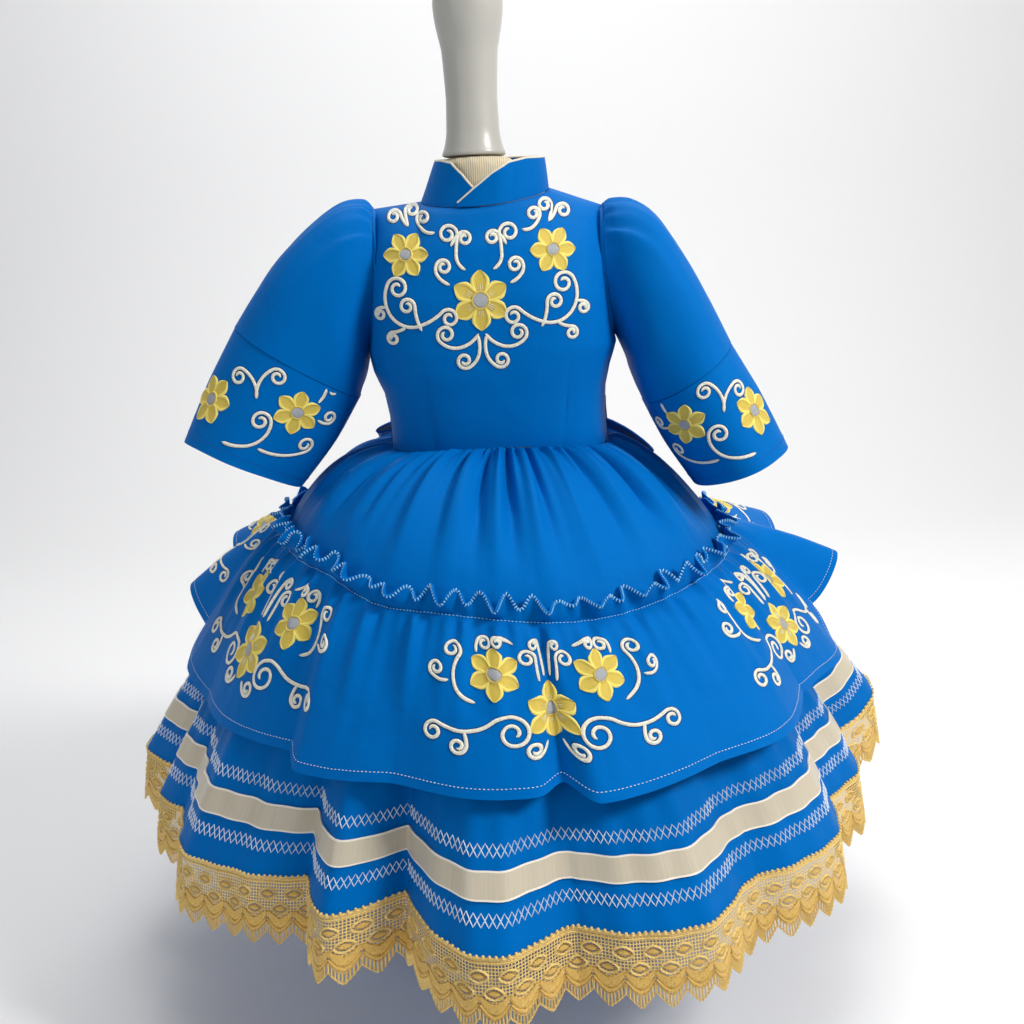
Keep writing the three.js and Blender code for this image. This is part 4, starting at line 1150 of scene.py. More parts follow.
SKY = (0, 160, 255)
CLOTH = Twill("blue_twill_satin", (0, 106, 188), 0.55, 0.16, 0.05, SKY, 0.35, patches=0.12)
SCROLL = Thread("ivory_satin_stitch", (246, 246, 230), 0.45, 0.45, 0.2)
# painted shadow: the dark blue of a flat band laid under each scroll's edges, where the cord meets
# the cloth; it is no real thread
CORD_SHADOW = Thread("painted_cord_shadow", (12, 52, 120), 0.7, 0.2, shadow=(4, 22, 60))
PETALS = Petal("yellow_applique", (248, 228, 118), 0.5, 0.3, 0.1)
CENTRES = Lattice("silver_lattice", (196, 200, 206), 0.4, 0.6)
WHITE_THREAD = Thread("white_thread", (238, 243, 248), 0.55, 0.4, shadow=(170, 190, 215))
SKY_THREAD = Thread("sky_blue_thread", (170, 225, 255), 0.55, 0.4, shadow=(95, 170, 225))
BLUE_THREAD = Thread("blue_thread", (8, 90, 180), 0.55, 0.4, shadow=(4, 50, 120))
SATIN = Ribbon("beige_satin_ribbon", (214, 203, 180), 0.33, 0.55, 0.2, anisotropic=0.4)
PIPING = Twill("cream_piping", (232, 224, 202), 0.45, 0.4, 0.2)
GOLD = Thread("gold_lace_cord", (250, 222, 146), 0.4, 0.5, 0.15, (255, 226, 150),
              pitch=0.0007, shadow=(190, 150, 78))
DARK_GOLD = Thread("gold_lace_satin", (234, 196, 112), 0.36, 0.5, 0.15, (255, 220, 140),
                   pitch=0.0009, slant=0.0, shadow=(160, 118, 52))
GROUND = Net("gold_lace_net", (232, 198, 120), 0.55, 0.4)
JERSEY = Jersey("cream_rib_jersey", (226, 212, 180), 0.85, 0.2, 0.2)
BLOCK = Finish("white_block", (186, 184, 176), 0.35, 0.5, coat=0.2, patches=0.03)
STAND_PAINT = Finish("white_stand_paint", (232, 232, 230), 0.3, 0.5, coat=0.4, patches=0.04)


class Slot(Enum):
    """The record's material slots."""

    CLOTH = "dress_cloth"
    RIBBON = "satin_ribbon"
    LACE = "gold_lace"
    SCROLL = "scroll_thread"
    FLOWER = "flower_cloth"
    CENTRE = "flower_centre"
    STITCH = "stitch_thread"
    JERSEY = "form_jersey"
    NECK = "neck_white"
    STAND = "stand_paint"


def piece(item: bpy.types.Object, finish: Finish, slot: Slot, *nodes: str) -> bpy.types.Object:
    """Finishes a piece: its material, the body it rides on and its nodes."""
    item.data.materials.clear()
    item.data.materials.append(finish.material())
    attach(item, BODY)
    if nodes:
        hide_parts(*nodes)
    LOG.info("%s: %d faces", item.name, len(item.data.polygons))
    return item


class Held(Enum):
    """How a sheet of cloth is held."""

    DRAPED = "draped"
    HUNG = "hung"
    GATHERED = "gathered"
    FOLDED = "folded"
    LAID = "laid"


def declare_sheet(
    item: bpy.types.Object, grid: Array, closed: bool,
) -> None:
    """Logs a cloth piece's size when its surface is spread flat."""
    rows = np.concatenate([grid, grid[:, :1]], axis=1) if closed else grid
    width = np.linalg.norm(np.diff(rows, axis=1), axis=2).sum(axis=1).max() / 1000
    length = np.linalg.norm(np.diff(grid, axis=0), axis=2).sum(axis=0).max() / 1000
    cross = np.cross(rows[1:, 1:] - rows[:-1, :-1], rows[:-1, 1:] - rows[1:, :-1])
    area = np.linalg.norm(cross, axis=2).sum() / 2e6
    area = min(area, width * length)
    LOG.info("%s: cut %.0f x %.0f mm, %.4f m2", item.name, width * 1e3, length * 1e3, area)


def cloth_piece(
    name: str, node: str, grid: Array, closed: bool,
    wall: float = WALL, finish: Finish = CLOTH, slot: Slot = Slot.CLOTH,
) -> None:
    """Builds and finishes one piece of cloth, and logs its flat size.

    Args:
        name: of the piece.
        node: the solid that it replaces.
        grid: its outer points, rows by columns.
        closed: whether the columns run round a ring.
        wall: thickness in millimetres.
        finish: of the cloth.
        slot: of the record; not used.
    """
    item = piece(cloth_wall(name, grid, closed, wall), finish, slot, node)
    declare_sheet(item, grid, closed)


# ---- charts: flat drawings laid on cloth ---------------------------------------------------
class Chart:
    """Lays a flat drawing, in millimetres with y upwards, on a surface."""

    def place(self, flat: Array) -> tuple[Array, Array]:
        """Returns the points and outward directions under N by 2 flat points."""
        raise NotImplementedError


class SurfaceChart(Chart):
    """A chart whose x runs round a surface at true length and whose y runs up it."""

    def __init__(
        self, surface: Surface, u_at: float, v_at: float, v_per_mm: float,
        tilt: float = 0.0, turn: float = 1.0,
    ) -> None:
        """Measures the surface round the row v_at.

        Args:
            surface: what the drawing lies on.
            u_at: where the drawing's origin lies round the surface.
            v_at: where it lies down the surface.
            v_per_mm: how much v grows in a millimetre downwards.
            tilt: degrees by which the drawing is turned anticlockwise.
            turn: 1 where x grows with u, -1 where it falls.
        """
        self.surface = surface
        self.v_at = v_at
        self.v_per_mm = v_per_mm
        self.tilt = math.radians(tilt)
        self.turn = turn
        steps = np.linspace(u_at - 150, u_at + 150, 1201)
        line = surface.points(steps, np.full_like(steps, v_at))
        run = path_run(line)
        self.steps = steps
        self.run = run - np.interp(u_at, steps, run)

    def place(self, flat: Array) -> tuple[Array, Array]:
        """Returns the points and outward directions under N by 2 flat points."""
        x, y = flat[:, 0], flat[:, 1]
        across = x * math.cos(self.tilt) - y * math.sin(self.tilt)
        up = x * math.sin(self.tilt) + y * math.cos(self.tilt)
        u = np.interp(across * self.turn, self.run, self.steps)
        v = self.v_at - up * self.v_per_mm
        normals = self.surface.normals(u, v, 0.15, self.v_per_mm * 0.7)
        return self.surface.points(u, v), normals * self.turn


class FrontChart(Chart):
    """A chart seen from the front, laid on the piece that faces the viewer."""

    viewer_y = -400.0
    chest_y = -60.0

    def __init__(self, grid: Array, x: float, z: float) -> None:
        """Takes the piece's outer grid and where the drawing's origin lies."""
        rows, columns = grid.shape[:2]
        at = np.arange(rows * columns).reshape(rows, columns)
        quads = np.stack([at[:-1, :-1], at[1:, :-1], at[1:, 1:], at[:-1, 1:]], axis=-1)
        points = grid.reshape(-1, 3).tolist()
        self.tree = BVHTree.FromPolygons(points, quads.reshape(-1, 4).tolist())
        self.x = x
        self.z = z

    def place(self, flat: Array) -> tuple[Array, Array]:
        """Returns the points and outward directions under N by 2 flat points."""
        points = np.empty((len(flat), 3))
        normals = np.empty((len(flat), 3))
        for i, (x, y) in enumerate(flat):
            start = Vector((self.x + x, self.viewer_y, self.z + y))
            hit = self.tree.ray_cast(start, Vector((0, 1, 0)))
            if hit[0] is None:
                hit = self.tree.find_nearest(Vector((start.x, self.chest_y, start.z)))
            points[i] = hit[0]
            normals[i] = hit[1] if hit[1].y < 0.2 else -hit[1]
        return points, normals


class RingChart(Chart):
    """A chart round the lace: x in millimetres of pitch, y downwards from its top edge."""

    def place(self, flat: Array) -> tuple[Array, Array]:
        """Returns the points and outward directions under N by 2 flat points."""
        degrees = -180 + flat[:, 0] / PITCH * (360 / SCALLOPS)
        points = lace_point(degrees, -flat[:, 1])
        along = lace_point(degrees + 0.2, -flat[:, 1]) - lace_point(degrees - 0.2, -flat[:, 1])
        down = lace_point(degrees, -flat[:, 1] + 1) - lace_point(degrees, -flat[:, 1] - 1)
        return points, unit(np.cross(down, along))


# ---- drawings ------------------------------------------------------------------------------
Profile = tuple[tuple[float, float], ...]
CORD: Profile = ((-0.5, -0.2), (-0.36, 0.62), (0.0, 1.0), (0.36, 0.62), (0.5, -0.2), (0.0, -0.3))
THIN: Profile = ((-0.5, -0.1), (0.0, 1.0), (0.5, -0.1), (0.0, -0.3))
BAND: Profile = ((-0.5, -0.2), (-0.4, 0.8), (-0.1, 1.0), (0.2, 0.7), (0.42, 0.9), (0.5, -0.2))
FLAT: Profile = ((-0.5, -0.3), (-0.5, 0.5), (0.5, 0.5), (0.5, -0.3))
DISC: Profile = (
    (-0.5, -0.3), (-0.46, 0.6), (-0.25, 0.95), (0.0, 1.0), (0.25, 0.95), (0.46, 0.6), (0.5, -0.3),
)
PETAL: Profile = (
    (-0.5, -0.2), (-0.47, 0.85), (-0.41, 1.0), (-0.33, 0.85), (-0.29, 0.4), (-0.12, 0.55),
    (0.0, 0.35), (0.12, 0.55), (0.29, 0.4), (0.33, 0.85), (0.41, 1.0), (0.47, 0.85),
    (0.5, -0.2), (0.0, -0.3),
)


class Sweeps:
    """A mesh gathered from many raised lines and fields that are drawn on charts."""

    def __init__(self) -> None:
        """Starts empty."""
        self.points: list[Array] = []
        self.faces: list[Array] = []
        self.cloth: list[Array] = []
        self.share: list[Array] = []
        self.count = 0

    def sweep(
        self, chart: Chart, path: Array, width: Array | float, height: float,
        profile: Profile = CORD, lift: float = 0.0, taper: float = 0.0,
    ) -> None:
        """Adds a body that follows a flat path.

        Args:
            chart: the surface that it lies on.
            path: N by 2 flat points.
            width: of the body, in millimetres, one for all or one for each point.
            height: above the cloth.
            profile: the section, as shares of the width and height.
            lift: of the whole section above the cloth.
            taper: over this length from each end the width grows from a third.
        """
        keep = np.concatenate([[True], np.linalg.norm(np.diff(path, axis=0), axis=1) > 1e-6])
        path = path[keep]
        if len(path) < 2:
            return
        width = np.broadcast_to(width, keep.shape)[keep].astype(float)
        run = path_run(path)
        if taper:
            near = np.minimum(run, run[-1] - run) / taper
            width = width * np.clip(0.3 + 0.7 * near, 0, 1)
        along = unit(np.gradient(path, axis=0))
        side = column(-along[:, 1], along[:, 0])
        across, up = np.array(profile).T
        flat = path[:, None] + side[:, None] * (across[None] * width[:, None])[..., None]
        points, normals = chart.place(flat.reshape(-1, 2))
        rise = np.tile(up * height + lift, len(path))
        self.add(points + normals * rise[:, None], run, width, across)

    def add(self, points: Array, run: Array, width: Array, across: Array) -> None:
        """Adds a tube with closed ends from its rings of points."""
        rings, k = len(run), len(across)
        j, i = cells(rings - 1, k)
        n = (i + 1) % k
        corners = [(j, i), (j + 1, i), (j + 1, n), (j, n)]
        first = self.count
        self.faces.append(np.stack([first + a * k + b for a, b in corners], axis=1))
        self.cloth.append(np.stack(
            [column(across[b] * width[a], run[a]) / 1000 for a, b in corners], axis=1,
        ))
        self.share.append(np.stack(
            [column(across[b], run[a] / run[-1]) for a, b in corners], axis=1,
        ))
        ring = np.arange(k)
        for end, order in ((0, ring), (rings - 1, ring[::-1])):
            self.faces.append((first + end * k + order)[None])
            flat = column(across[order] * width[end], run[end]) / 1000
            self.cloth.append(flat[None])
            self.share.append(column(across[order], end > 0)[None])
        self.points.append(points)
        self.count += len(points)

    def build(self, name: str) -> bpy.types.Object:
        """Returns the gathered mesh as one object."""
        sizes = [f.shape[1] for f in self.faces]
        groups = sorted(set(sizes))

        def gathered(parts: list[Array]) -> list[Array]:
            """Returns the arrays joined by their number of corners."""
            return [np.concatenate([p for p, s in zip(parts, sizes) if s == g]) for g in groups]

        item = make_mesh(
            name, np.concatenate(self.points), gathered(self.faces), gathered(self.cloth), 70,
        )
        layer = item.data.uv_layers.new(name="share")
        flat = np.concatenate([u.ravel() for u in gathered(self.share)])
        layer.data.foreach_set("uv", flat.astype(float))
        item.data.uv_layers.active = item.data.uv_layers["cloth"]
        return item


def curl(start: Array, heading: float, radius: float, turns: float, step: float = 1.9) -> Array:
    """Returns a line that winds inwards; a positive radius winds to the left."""
    side, r0 = math.copysign(1, radius), abs(radius)
    whole = turns * math.tau
    turned, place, line = 0.0, np.array(start, dtype=float), []
    while turned < whole:
        r = r0 * (1 - 0.72 * turned / whole)
        angle = min(step, r * 0.45) / r
        turned += angle
        heading += side * angle
        place = place + r * angle * np.array([math.cos(heading), math.sin(heading)])
        line.append(place)
    return np.array(line)


@dataclass(frozen=True)
class Scroll:
    """A line of satin stitch: arcs one after the other, with a curl at its ends.

    Each arc is a length and the degrees that it turns to the left. A positive curl radius
    winds to the left, as one travels out of the line at that end.
    """

    x: float
    y: float
    heading: float
    arcs: tuple[tuple[float, float], ...]
    end: float = 0.0
    start: float = 0.0
    turns: float = 1.3
    step: float = 1.9

    def path(self, mirror: float = 1.0) -> Array:
        """Returns the whole line; mirror is -1 for its mirror image."""
        heading = math.radians(self.heading)
        points = [np.array([self.x, self.y], dtype=float)]
        for length, turn in self.arcs:
            count = max(2, round(length / self.step))
            for _ in range(count):
                heading += math.radians(turn) / count
                way = np.array([math.cos(heading), math.sin(heading)])
                points.append(points[-1] + way * length / count)
        line = np.array(points)
        for radius in (self.end, self.start):
            if radius:
                way = line[-1] - line[-2]
                heading = math.atan2(way[1], way[0])
                line = np.concatenate([line, curl(line[-1], heading, radius, self.turns)])
            line = line[::-1]
        return line * (mirror, 1)


@dataclass(frozen=True)
class Flower:
    """An applique flower: where it lies, its size and where its first petal points."""

    x: float
    y: float
    size: float
    first: float = 90.0
    rays: bool = False


PETAL_LEAF = np.array([
    [0, 0.36], [0.2, 0.5], [0.4, 0.63], [0.55, 0.67], [0.7, 0.6], [0.85, 0.4], [0.95, 0.18],
    [1, 0.05],
])
CENTRE_SHARE = 0.27
CORD_WIDTH = 3.4
CORD_HEIGHT = 1.15


@dataclass
class Embroidery:
    """The scrolls and flowers that are stitched on one piece of the dress."""

    name: str
    scrolls: Sweeps = field(default_factory=Sweeps)
    # flat dark bands under the scrolls' edges: painted shadow
    cord_shadows: Sweeps = field(default_factory=Sweeps)
    petals: Sweeps = field(default_factory=Sweeps)
    centres: Sweeps = field(default_factory=Sweeps)

    def scroll(
        self, chart: Chart, path: Array, keep: Callable[[Array], Array] | None = None,
    ) -> None:
        """Adds a scroll and a flat dark band under its edges: painted shadow where the cord meets
        the cloth.
        """
        inside = np.ones(len(path), dtype=bool) if keep is None else keep(path)
        edges = np.flatnonzero(np.diff(inside.astype(int))) + 1
        for run in np.split(np.arange(len(path)), edges):
            if inside[run[0]] and len(run) > 2:
                self.scrolls.sweep(chart, path[run], CORD_WIDTH, CORD_HEIGHT, CORD, taper=2.5)
                # a flat dark band a little wider than the cord: painted shadow along its edges
                self.cord_shadows.sweep(chart, path[run], CORD_WIDTH + 0.9, 0.3, FLAT, taper=2.5)

    def flower(self, chart: Chart, flower: Flower) -> None:
        """Adds a flower of six pointed petals round a latticed centre."""
        middle = np.array([flower.x, flower.y])
        radius = flower.size / 2
        inner = radius * CENTRE_SHARE
        for k in range(6):
            turn = math.radians(flower.first + 60 * k)
            way = np.array([math.cos(turn), math.sin(turn)])
            t = np.concatenate([np.linspace(0, 0.8, 8), [0.87, 0.93, 0.97, 1.0]])
            path = middle + way * (inner * 0.8 + (radius - inner * 0.8) * t)[:, None]
            width = np.interp(t, PETAL_LEAF[:, 0], PETAL_LEAF[:, 1]) * radius
            lift = 0.12 * (k % 2)
            self.petals.sweep(chart, path, width, 1.1, PETAL, lift=lift)
            if flower.rays:
                for spread in (-9, 0, 9):
                    a = turn + math.radians(spread)
                    ray = np.array([math.cos(a), math.sin(a)])
                    line = middle + ray * np.linspace(inner * 1.1, radius * 0.55, 5)[:, None]
                    self.scrolls.sweep(chart, line, 1.2, 1.1, THIN, taper=1.5)
        t = np.linspace(-1, 1, 13)
        disc = np.sqrt(np.maximum(0.004, 1 - t * t)) * 2
        line = middle + column(t, 0) * inner
        self.centres.sweep(chart, line, disc * inner, 1.35, DISC)
        ring = np.linspace(0, math.tau, 27)
        line = middle + column(np.cos(ring), np.sin(ring)) * inner * 1.04
        self.petals.sweep(chart, line, radius * 0.085, 1.7, CORD)

    def finish(self) -> None:
        """Builds and finishes the pieces."""
        piece(self.scrolls.build(self.name + "_scrolls"), SCROLL, Slot.SCROLL)
        # the painted shadow bands under the scrolls' edges
        piece(self.cord_shadows.build(self.name + "_painted_scroll_shadows"), CORD_SHADOW, Slot.STITCH)
        piece(self.petals.build(self.name + "_petals"), PETALS, Slot.FLOWER)
        piece(self.centres.build(self.name + "_flower_centres"), CENTRES, Slot.CENTRE)


# x, y, heading, arcs, curl at the end, curl at the start; each half has its mirror image
CHEST_SCROLLS = (
    Scroll(-3, -28, 240, ((20, -45), (20, -60)), -8),
    Scroll(-4, -29, 290, ((16, -30), (16, -50)), -7),
    Scroll(-33, -8, 225, ((26, -30), (32, -80), (24, -50)), -9.5, -8),
    Scroll(-52, -24, 120, ((22, -30),), 7),
    Scroll(-66, -21, 215, ((14, -30),), 5.5),
    Scroll(-83, -4, 165, ((9, 40),), 5),
    Scroll(-12, 26, 160, ((16, -70), (16, -10)), 8.5),
    Scroll(-24, 46, 70, ((14, -30),), -6),
    Scroll(-26, 14, 165, ((14, -40), (10, -60)), -6.5),
    Scroll(-38, 58, 200, ((12, -60), (10, -30)), -6),
    Scroll(-62, 64, 110, ((14, -10),), -6.5),
    Scroll(-62, 64, 140, ((14, -30),), 6.5),
)
CHEST_CENTRE = (-5.0, 138.0)
CHEST_FLOWERS = (
    Flower(0, 0, 51, 90, True), Flower(-64, 40, 40, 0), Flower(64, 40, 40, 0),
)
CUFF_SCROLLS = (
    Scroll(-64, -26, 330, ((22, 30), (22, 60), (12, 30)), 9),
    Scroll(-32, -34, 325, ((24, 25), (22, 25)), 8),
    Scroll(-36, 12, 100, ((18, -40), (16, -30)), -8),
    Scroll(-36, 12, 80, ((18, 40), (14, 30)), 8),
    Scroll(19, 10, 40, ((16, 40),), -6.5),
    Scroll(19, -8, 310, ((12, 40),), 7),
)
FLOUNCE_SCROLLS = (
    Scroll(-92, -34, 330, ((20, 30), (26, 40), (20, -60)), -13, 8),
    Scroll(-64, -16, 170, ((24, -60), (26, -50)), 8),
    Scroll(-86, 2, 200, ((16, -50),), -7),
    Scroll(-10, 2, 100, ((22, -10),), 8),
    Scroll(-3, 4, 92, ((34, 8),), 5.5),
    Scroll(-64, 26, 110, ((12, -40),), -6.5),
    Scroll(-30, 36, 160, ((14, -20),), 5.5),
    Scroll(-8, -51, 250, ((12, -40),), -6.5),
    Scroll(-72, -39, 300, ((12, -30),), -6.5),
)
FLOUNCE_FLOWERS = (
    Flower(0, -26, 50, 90, True), Flower(-48, 10, 46, 90), Flower(48, 10, 46, 90),
)
BOTH_SIDES = (1.0, -1.0)


# ---- stitches laid by geometry nodes --------------------------------------------------------
@dataclass(frozen=True)
class Seam:
    """A kind of stitch: its spacing, lift above the cloth, thread and size in millimetres."""

    pitch: float
    lift: float
    finish: Finish
    size: tuple[float, float, float]


PLACKET = Seam(3.2, 0.3, BLUE_THREAD, (2.2, 0.6, 0.5))
CUFF_HEM = Seam(3.2, 0.25, BLUE_THREAD, (2.2, 0.6, 0.5))
FLOUNCE_HEM = Seam(3.3, 0.25, WHITE_THREAD, (2.1, 0.75, 0.5))
FLOUNCE_SEAM = Seam(3.0, 0.3, SKY_THREAD, (2.2, 0.9, 0.7))
OVERLOCK = Seam(2.7, 0.2, SKY_THREAD, (3.6, 1.5, 1.2))
PICOTS = Seam(5.0, 0.7, GOLD, (2.7, 2.7, 2.3))


class StitchTree:
    """One Geometry Nodes tree that lays a small round body on every point of a row."""

    def __init__(self) -> None:
        """Builds the tree: its points carry the ways along and up as attributes."""
        tree = bpy.data.node_groups.new("stitch_run", "GeometryNodeTree")
        socket(tree, "Points", "INPUT", "Geometry")
        for name in ("Length", "Width", "Height"):
            socket(tree, name, "INPUT", "Float", 0.001)
        socket(tree, "Material", "INPUT", "Material")
        socket(tree, "Stitches", "OUTPUT", "Geometry")
        pen = NodePen(tree)
        ends = pen.add("NodeGroupInput").outputs
        ball = pen.add("GeometryNodeMeshUVSphere", {"Segments": 6, "Rings": 4, "Radius": 0.5})
        size = pen.add("ShaderNodeCombineXYZ", {
            0: ends["Length"], 1: ends["Width"], 2: ends["Height"],
        })
        measures = pen.add("ShaderNodeVectorMath", {0: ball.outputs["UV Map"]}, operation="SCALE")
        measures.inputs["Scale"].default_value = 0.003
        marked = pen.add("GeometryNodeStoreNamedAttribute", {
            "Geometry": ball.outputs["Mesh"], "Name": "cloth", "Value": measures.outputs[0],
        }, data_type="FLOAT2", domain="CORNER")
        shaped = pen.add("GeometryNodeTransform", {
            "Geometry": marked.outputs[0], "Scale": size.outputs[0],
        })
        ways = [
            pen.add("GeometryNodeInputNamedAttribute", {"Name": name}, data_type="FLOAT_VECTOR")
            for name in ("along", "up")
        ]
        turn = pen.add("FunctionNodeAlignRotationToVector", {"Vector": ways[0].outputs[0]},
                       axis="X")
        turn = pen.add("FunctionNodeAlignRotationToVector", {
            "Rotation": turn.outputs[0], "Vector": ways[1].outputs[0],
        }, axis="Z", pivot_axis="X")
        laid = pen.add("GeometryNodeInstanceOnPoints", {
            "Points": ends["Points"], "Instance": shaped.outputs[0],
            "Rotation": turn.outputs[0],
        })
        real = pen.add("GeometryNodeRealizeInstances", {"Geometry": laid.outputs[0]})
        soft = pen.add("GeometryNodeSetShadeSmooth", {"Geometry": real.outputs[0]})
        last = pen.add("GeometryNodeSetMaterial", {
            "Geometry": soft.outputs[0], "Material": ends["Material"],
        })
        pen.add("NodeGroupOutput", {"Stitches": last.outputs[0]})
        self.tree = tree
        self.keys = {
            item.name: item.identifier for item in tree.interface.items_tree
            if item.in_out == "INPUT"
        }

    def lay(
        self, name: str, seam: Seam, points: Array, along: Array, up: Array,
    ) -> bpy.types.Object:
        """Lays a row.

        Args:
            name: of the finished piece.
            seam: the kind of stitch.
            points: N by 3, in millimetres about the waist.
            along: each stitch's direction.
            up: each stitch's way out of the cloth.

        Returns:
            The row as a plain mesh.
        """
        mesh = bpy.data.meshes.new(name + "_points")
        mesh.vertices.add(len(points))
        mesh.vertices.foreach_set("co", to_metres(points).ravel())
        for key, values in (("along", along), ("up", up)):
            attribute = mesh.attributes.new(key, "FLOAT_VECTOR", "POINT")
            attribute.data.foreach_set("vector", unit(values).ravel())
        row = linked(name + "_points", mesh)
        modifier = row.modifiers.new("stitches", "NODES")
        modifier.node_group = self.tree
        for key, value in zip(("Length", "Width", "Height"), seam.size):
            modifier[self.keys[key]] = value / 1000
        modifier[self.keys["Material"]] = seam.finish.material()
        graph = bpy.context.evaluated_depsgraph_get()
        made = bpy.data.meshes.new_from_object(row.evaluated_get(graph), depsgraph=graph)
        made.name = name
        bpy.data.objects.remove(row)
        return piece(linked(name, made), seam.finish, Slot.STITCH)


def row_along(
    surface: Surface, v: float, seam: Seam, upright: bool = False, turn: float = 1.0,
) -> tuple[Array, Array, Array]:
    """Returns even places of a row of stitches along a surface.

    Args:
        surface: what is sewn.
        v: where the row runs.
        seam: the kind of stitch.
        upright: whether the stitches stand across the row.
        turn: 1 where u runs anticlockwise, -1 where it doesn't.

    Returns:
        Points, directions along and directions up.
    """
    dense = np.linspace(-180.0, 180.0, 4001)
    line = surface.points(dense, np.full_like(dense, v))
    run = path_run(line)
    u = np.interp(np.arange(seam.pitch / 2, run[-1], seam.pitch), run, dense)
    level = np.full_like(u, v)
    step = 0.01 if abs(v) <= 7 else 1.0
    up = surface.normals(u, level, 0.2, step) * turn
    points = surface.points(u, level)
    way = surface.points(u + 0.2, level) - points
    if upright:
        way = np.cross(up, way)
    return points + up * seam.lift, way, up


STITCHES = StitchTree()


# ---- sub-assemblies -------------------------------------------------------------------------
@dataclass
class Bodice:
    """The fitted bodice: one front with two waist darts, two backs, and its embroidery."""

    steps: int = 6
    rows: int = 61
    placket_columns: int = 3
    placket_end: float = 2.0
    front: BodiceFace = field(default_factory=lambda: BodiceFace(1))
    back: BodiceFace = field(default_factory=lambda: BodiceFace(-1))

    def grid(self, face: BodiceFace, first: float, last: float) -> Array:
        """Returns the outer grid of a panel between two columns."""
        count = int(abs(last - first) * self.steps) + 1
        return surface_grid(
            face, np.linspace(first, last, count), np.linspace(0, 1, self.rows), closed=False,
        )

    def build(self) -> None:
        """Builds the panels and the embroidery."""
        front = self.grid(self.front, 0, 26)
        cloth_piece("front_panel", "bodice_front", front, False)
        for side, name, first, last in ((1, "right", 26, 13), (-1, "left", 13, 0)):
            back = self.grid(self.back, first, last)
            middle = -1 if side > 0 else 0
            back[:, middle, 0] += side * GAP / 2
            cloth_piece(f"back_panel_{name}", f"bodice_back_{name}", back, False)
            inset = back[:, middle - self.placket_columns * side]
            rows = path_run(inset)
            at = np.arange(self.placket_end, rows[-1] - self.placket_end, PLACKET.pitch)
            points = np.stack([np.interp(at, rows, inset[:, k]) for k in range(3)], axis=1)
            up = np.tile([0.0, 1.0, 0.0], (len(at), 1))
            STITCHES.lay(f"back_placket_stitches_{name}", PLACKET, points + up * PLACKET.lift,
                         np.gradient(points, axis=0), up)
        chart = FrontChart(front, *CHEST_CENTRE)
        stitched = Embroidery("chest")
        for scroll in CHEST_SCROLLS:
            for mirror in BOTH_SIDES:
                stitched.scroll(chart, scroll.path(mirror))
        for flower in CHEST_FLOWERS:
            stitched.flower(chart, flower)
        stitched.finish()


@dataclass
class Collar:
    """The stand collar: two halves that cross at the throat, with cream piping."""

    height: float = 36.0
    lap_ends: float = 25.0
    lap_slope: float = 15.0
    piping: float = 1.15
    top_centre: tuple[float, float, float] = (7.0, -1.0, 258.0)
    top_half_width: float = 50.0
    top_half_depth: float = 43.0
    top_dip: float = 3.0

    def points(self, degrees: Array, height: Array, lift: Array) -> Array:
        """Returns points of the collar at heights above the neck seam."""
        foot = neck_hole(degrees)
        side = np.sin(np.radians(degrees))
        front = np.cos(np.radians(degrees))
        x, y, z = self.top_centre
        top = column(
            x + self.top_half_width * side, y - self.top_half_depth * front,
            z - self.top_dip * front,
        )
        point = mix(foot, top, (height / self.height)[..., None])
        return point + column(side * lift, -front * lift, np.full_like(side, GAP * 2))

    def build(self) -> None:
        """Builds both halves and their piping."""
        halves = (("left", COLLAR_LEFT, 0.0), ("right", COLLAR_RIGHT, WALL + GAP * 2))
        for name, table, lap in halves:
            angles = np.linspace(table[0, 0], table[-1, 0], 81)
            angles = np.where(np.abs(angles) > 179.9, angles - np.sign(angles) * 0.2, angles)
            edge = np.interp(angles, table[:, 0], table[:, 1])
            lift = lap * np.clip((self.lap_ends - angles) / self.lap_slope, 0, 1)
            share = np.linspace(1, 0, 11)[:, None]
            soft = Creases(SEED + 21 + int(lap), 0.3, 5, 3).at(np.radians(angles), share)
            lifted = lift + soft * share * (1 - share) * 4
            grid = self.points(np.broadcast_to(angles, lifted.shape), share * edge, lifted)
            cloth_piece(f"stand_collar_{name}", f"collar_{name}", grid, False)
            line = grid[0] - grid_normals(grid, False)[0] * (WALL / 2)
            piping = Sweeps()
            tube(piping, line + (0, 0, 0.4), self.piping)
            piece(piping.build(f"collar_piping_{name}"), PIPING, Slot.SCROLL)


TUBE_SIDES = 8


def tube(sweeps: Sweeps, line: Array, radius: float) -> None:
    """Adds a round tube along points of space."""
    along = unit(np.gradient(line, axis=0))
    guide = np.tile([0.0, 0.0, 1.0], (len(line), 1))
    guide = np.where(np.abs(along[:, 2:]) > 0.9, [1.0, 0.0, 0.0], guide)
    side = unit(np.cross(guide, along))
    up = np.cross(along, side)
    turn = np.linspace(0, math.tau, TUBE_SIDES, endpoint=False)
    ring = side[:, None] * np.cos(turn)[:, None] + up[:, None] * np.sin(turn)[:, None]
    points = (line[:, None] + ring * radius).reshape(-1, 3)
    run = path_run(line)
    width = np.full(len(line), radius * math.tau)
    sweeps.add(points, run, width, np.arange(TUBE_SIDES) / TUBE_SIDES - 0.5)


@dataclass(frozen=True)
class CuffPlaces:
    """Where a cuff's two flowers are seen from the front, and how its drawing is turned."""

    front: tuple[float, float]
    edge: tuple[float, float]
    tilt: float
    first: float


CUFF_RING = 52.0
CUFF_FLOWER = 43.0
CUFF_PLACES = {
    "left": CuffPlaces((-174.0, 44.0), (-246.0, 56.0), 27.0, 75.0),
    "right": CuffPlaces((174.0, 20.0), (232.0, 27.0), -30.0, 93.0),
}


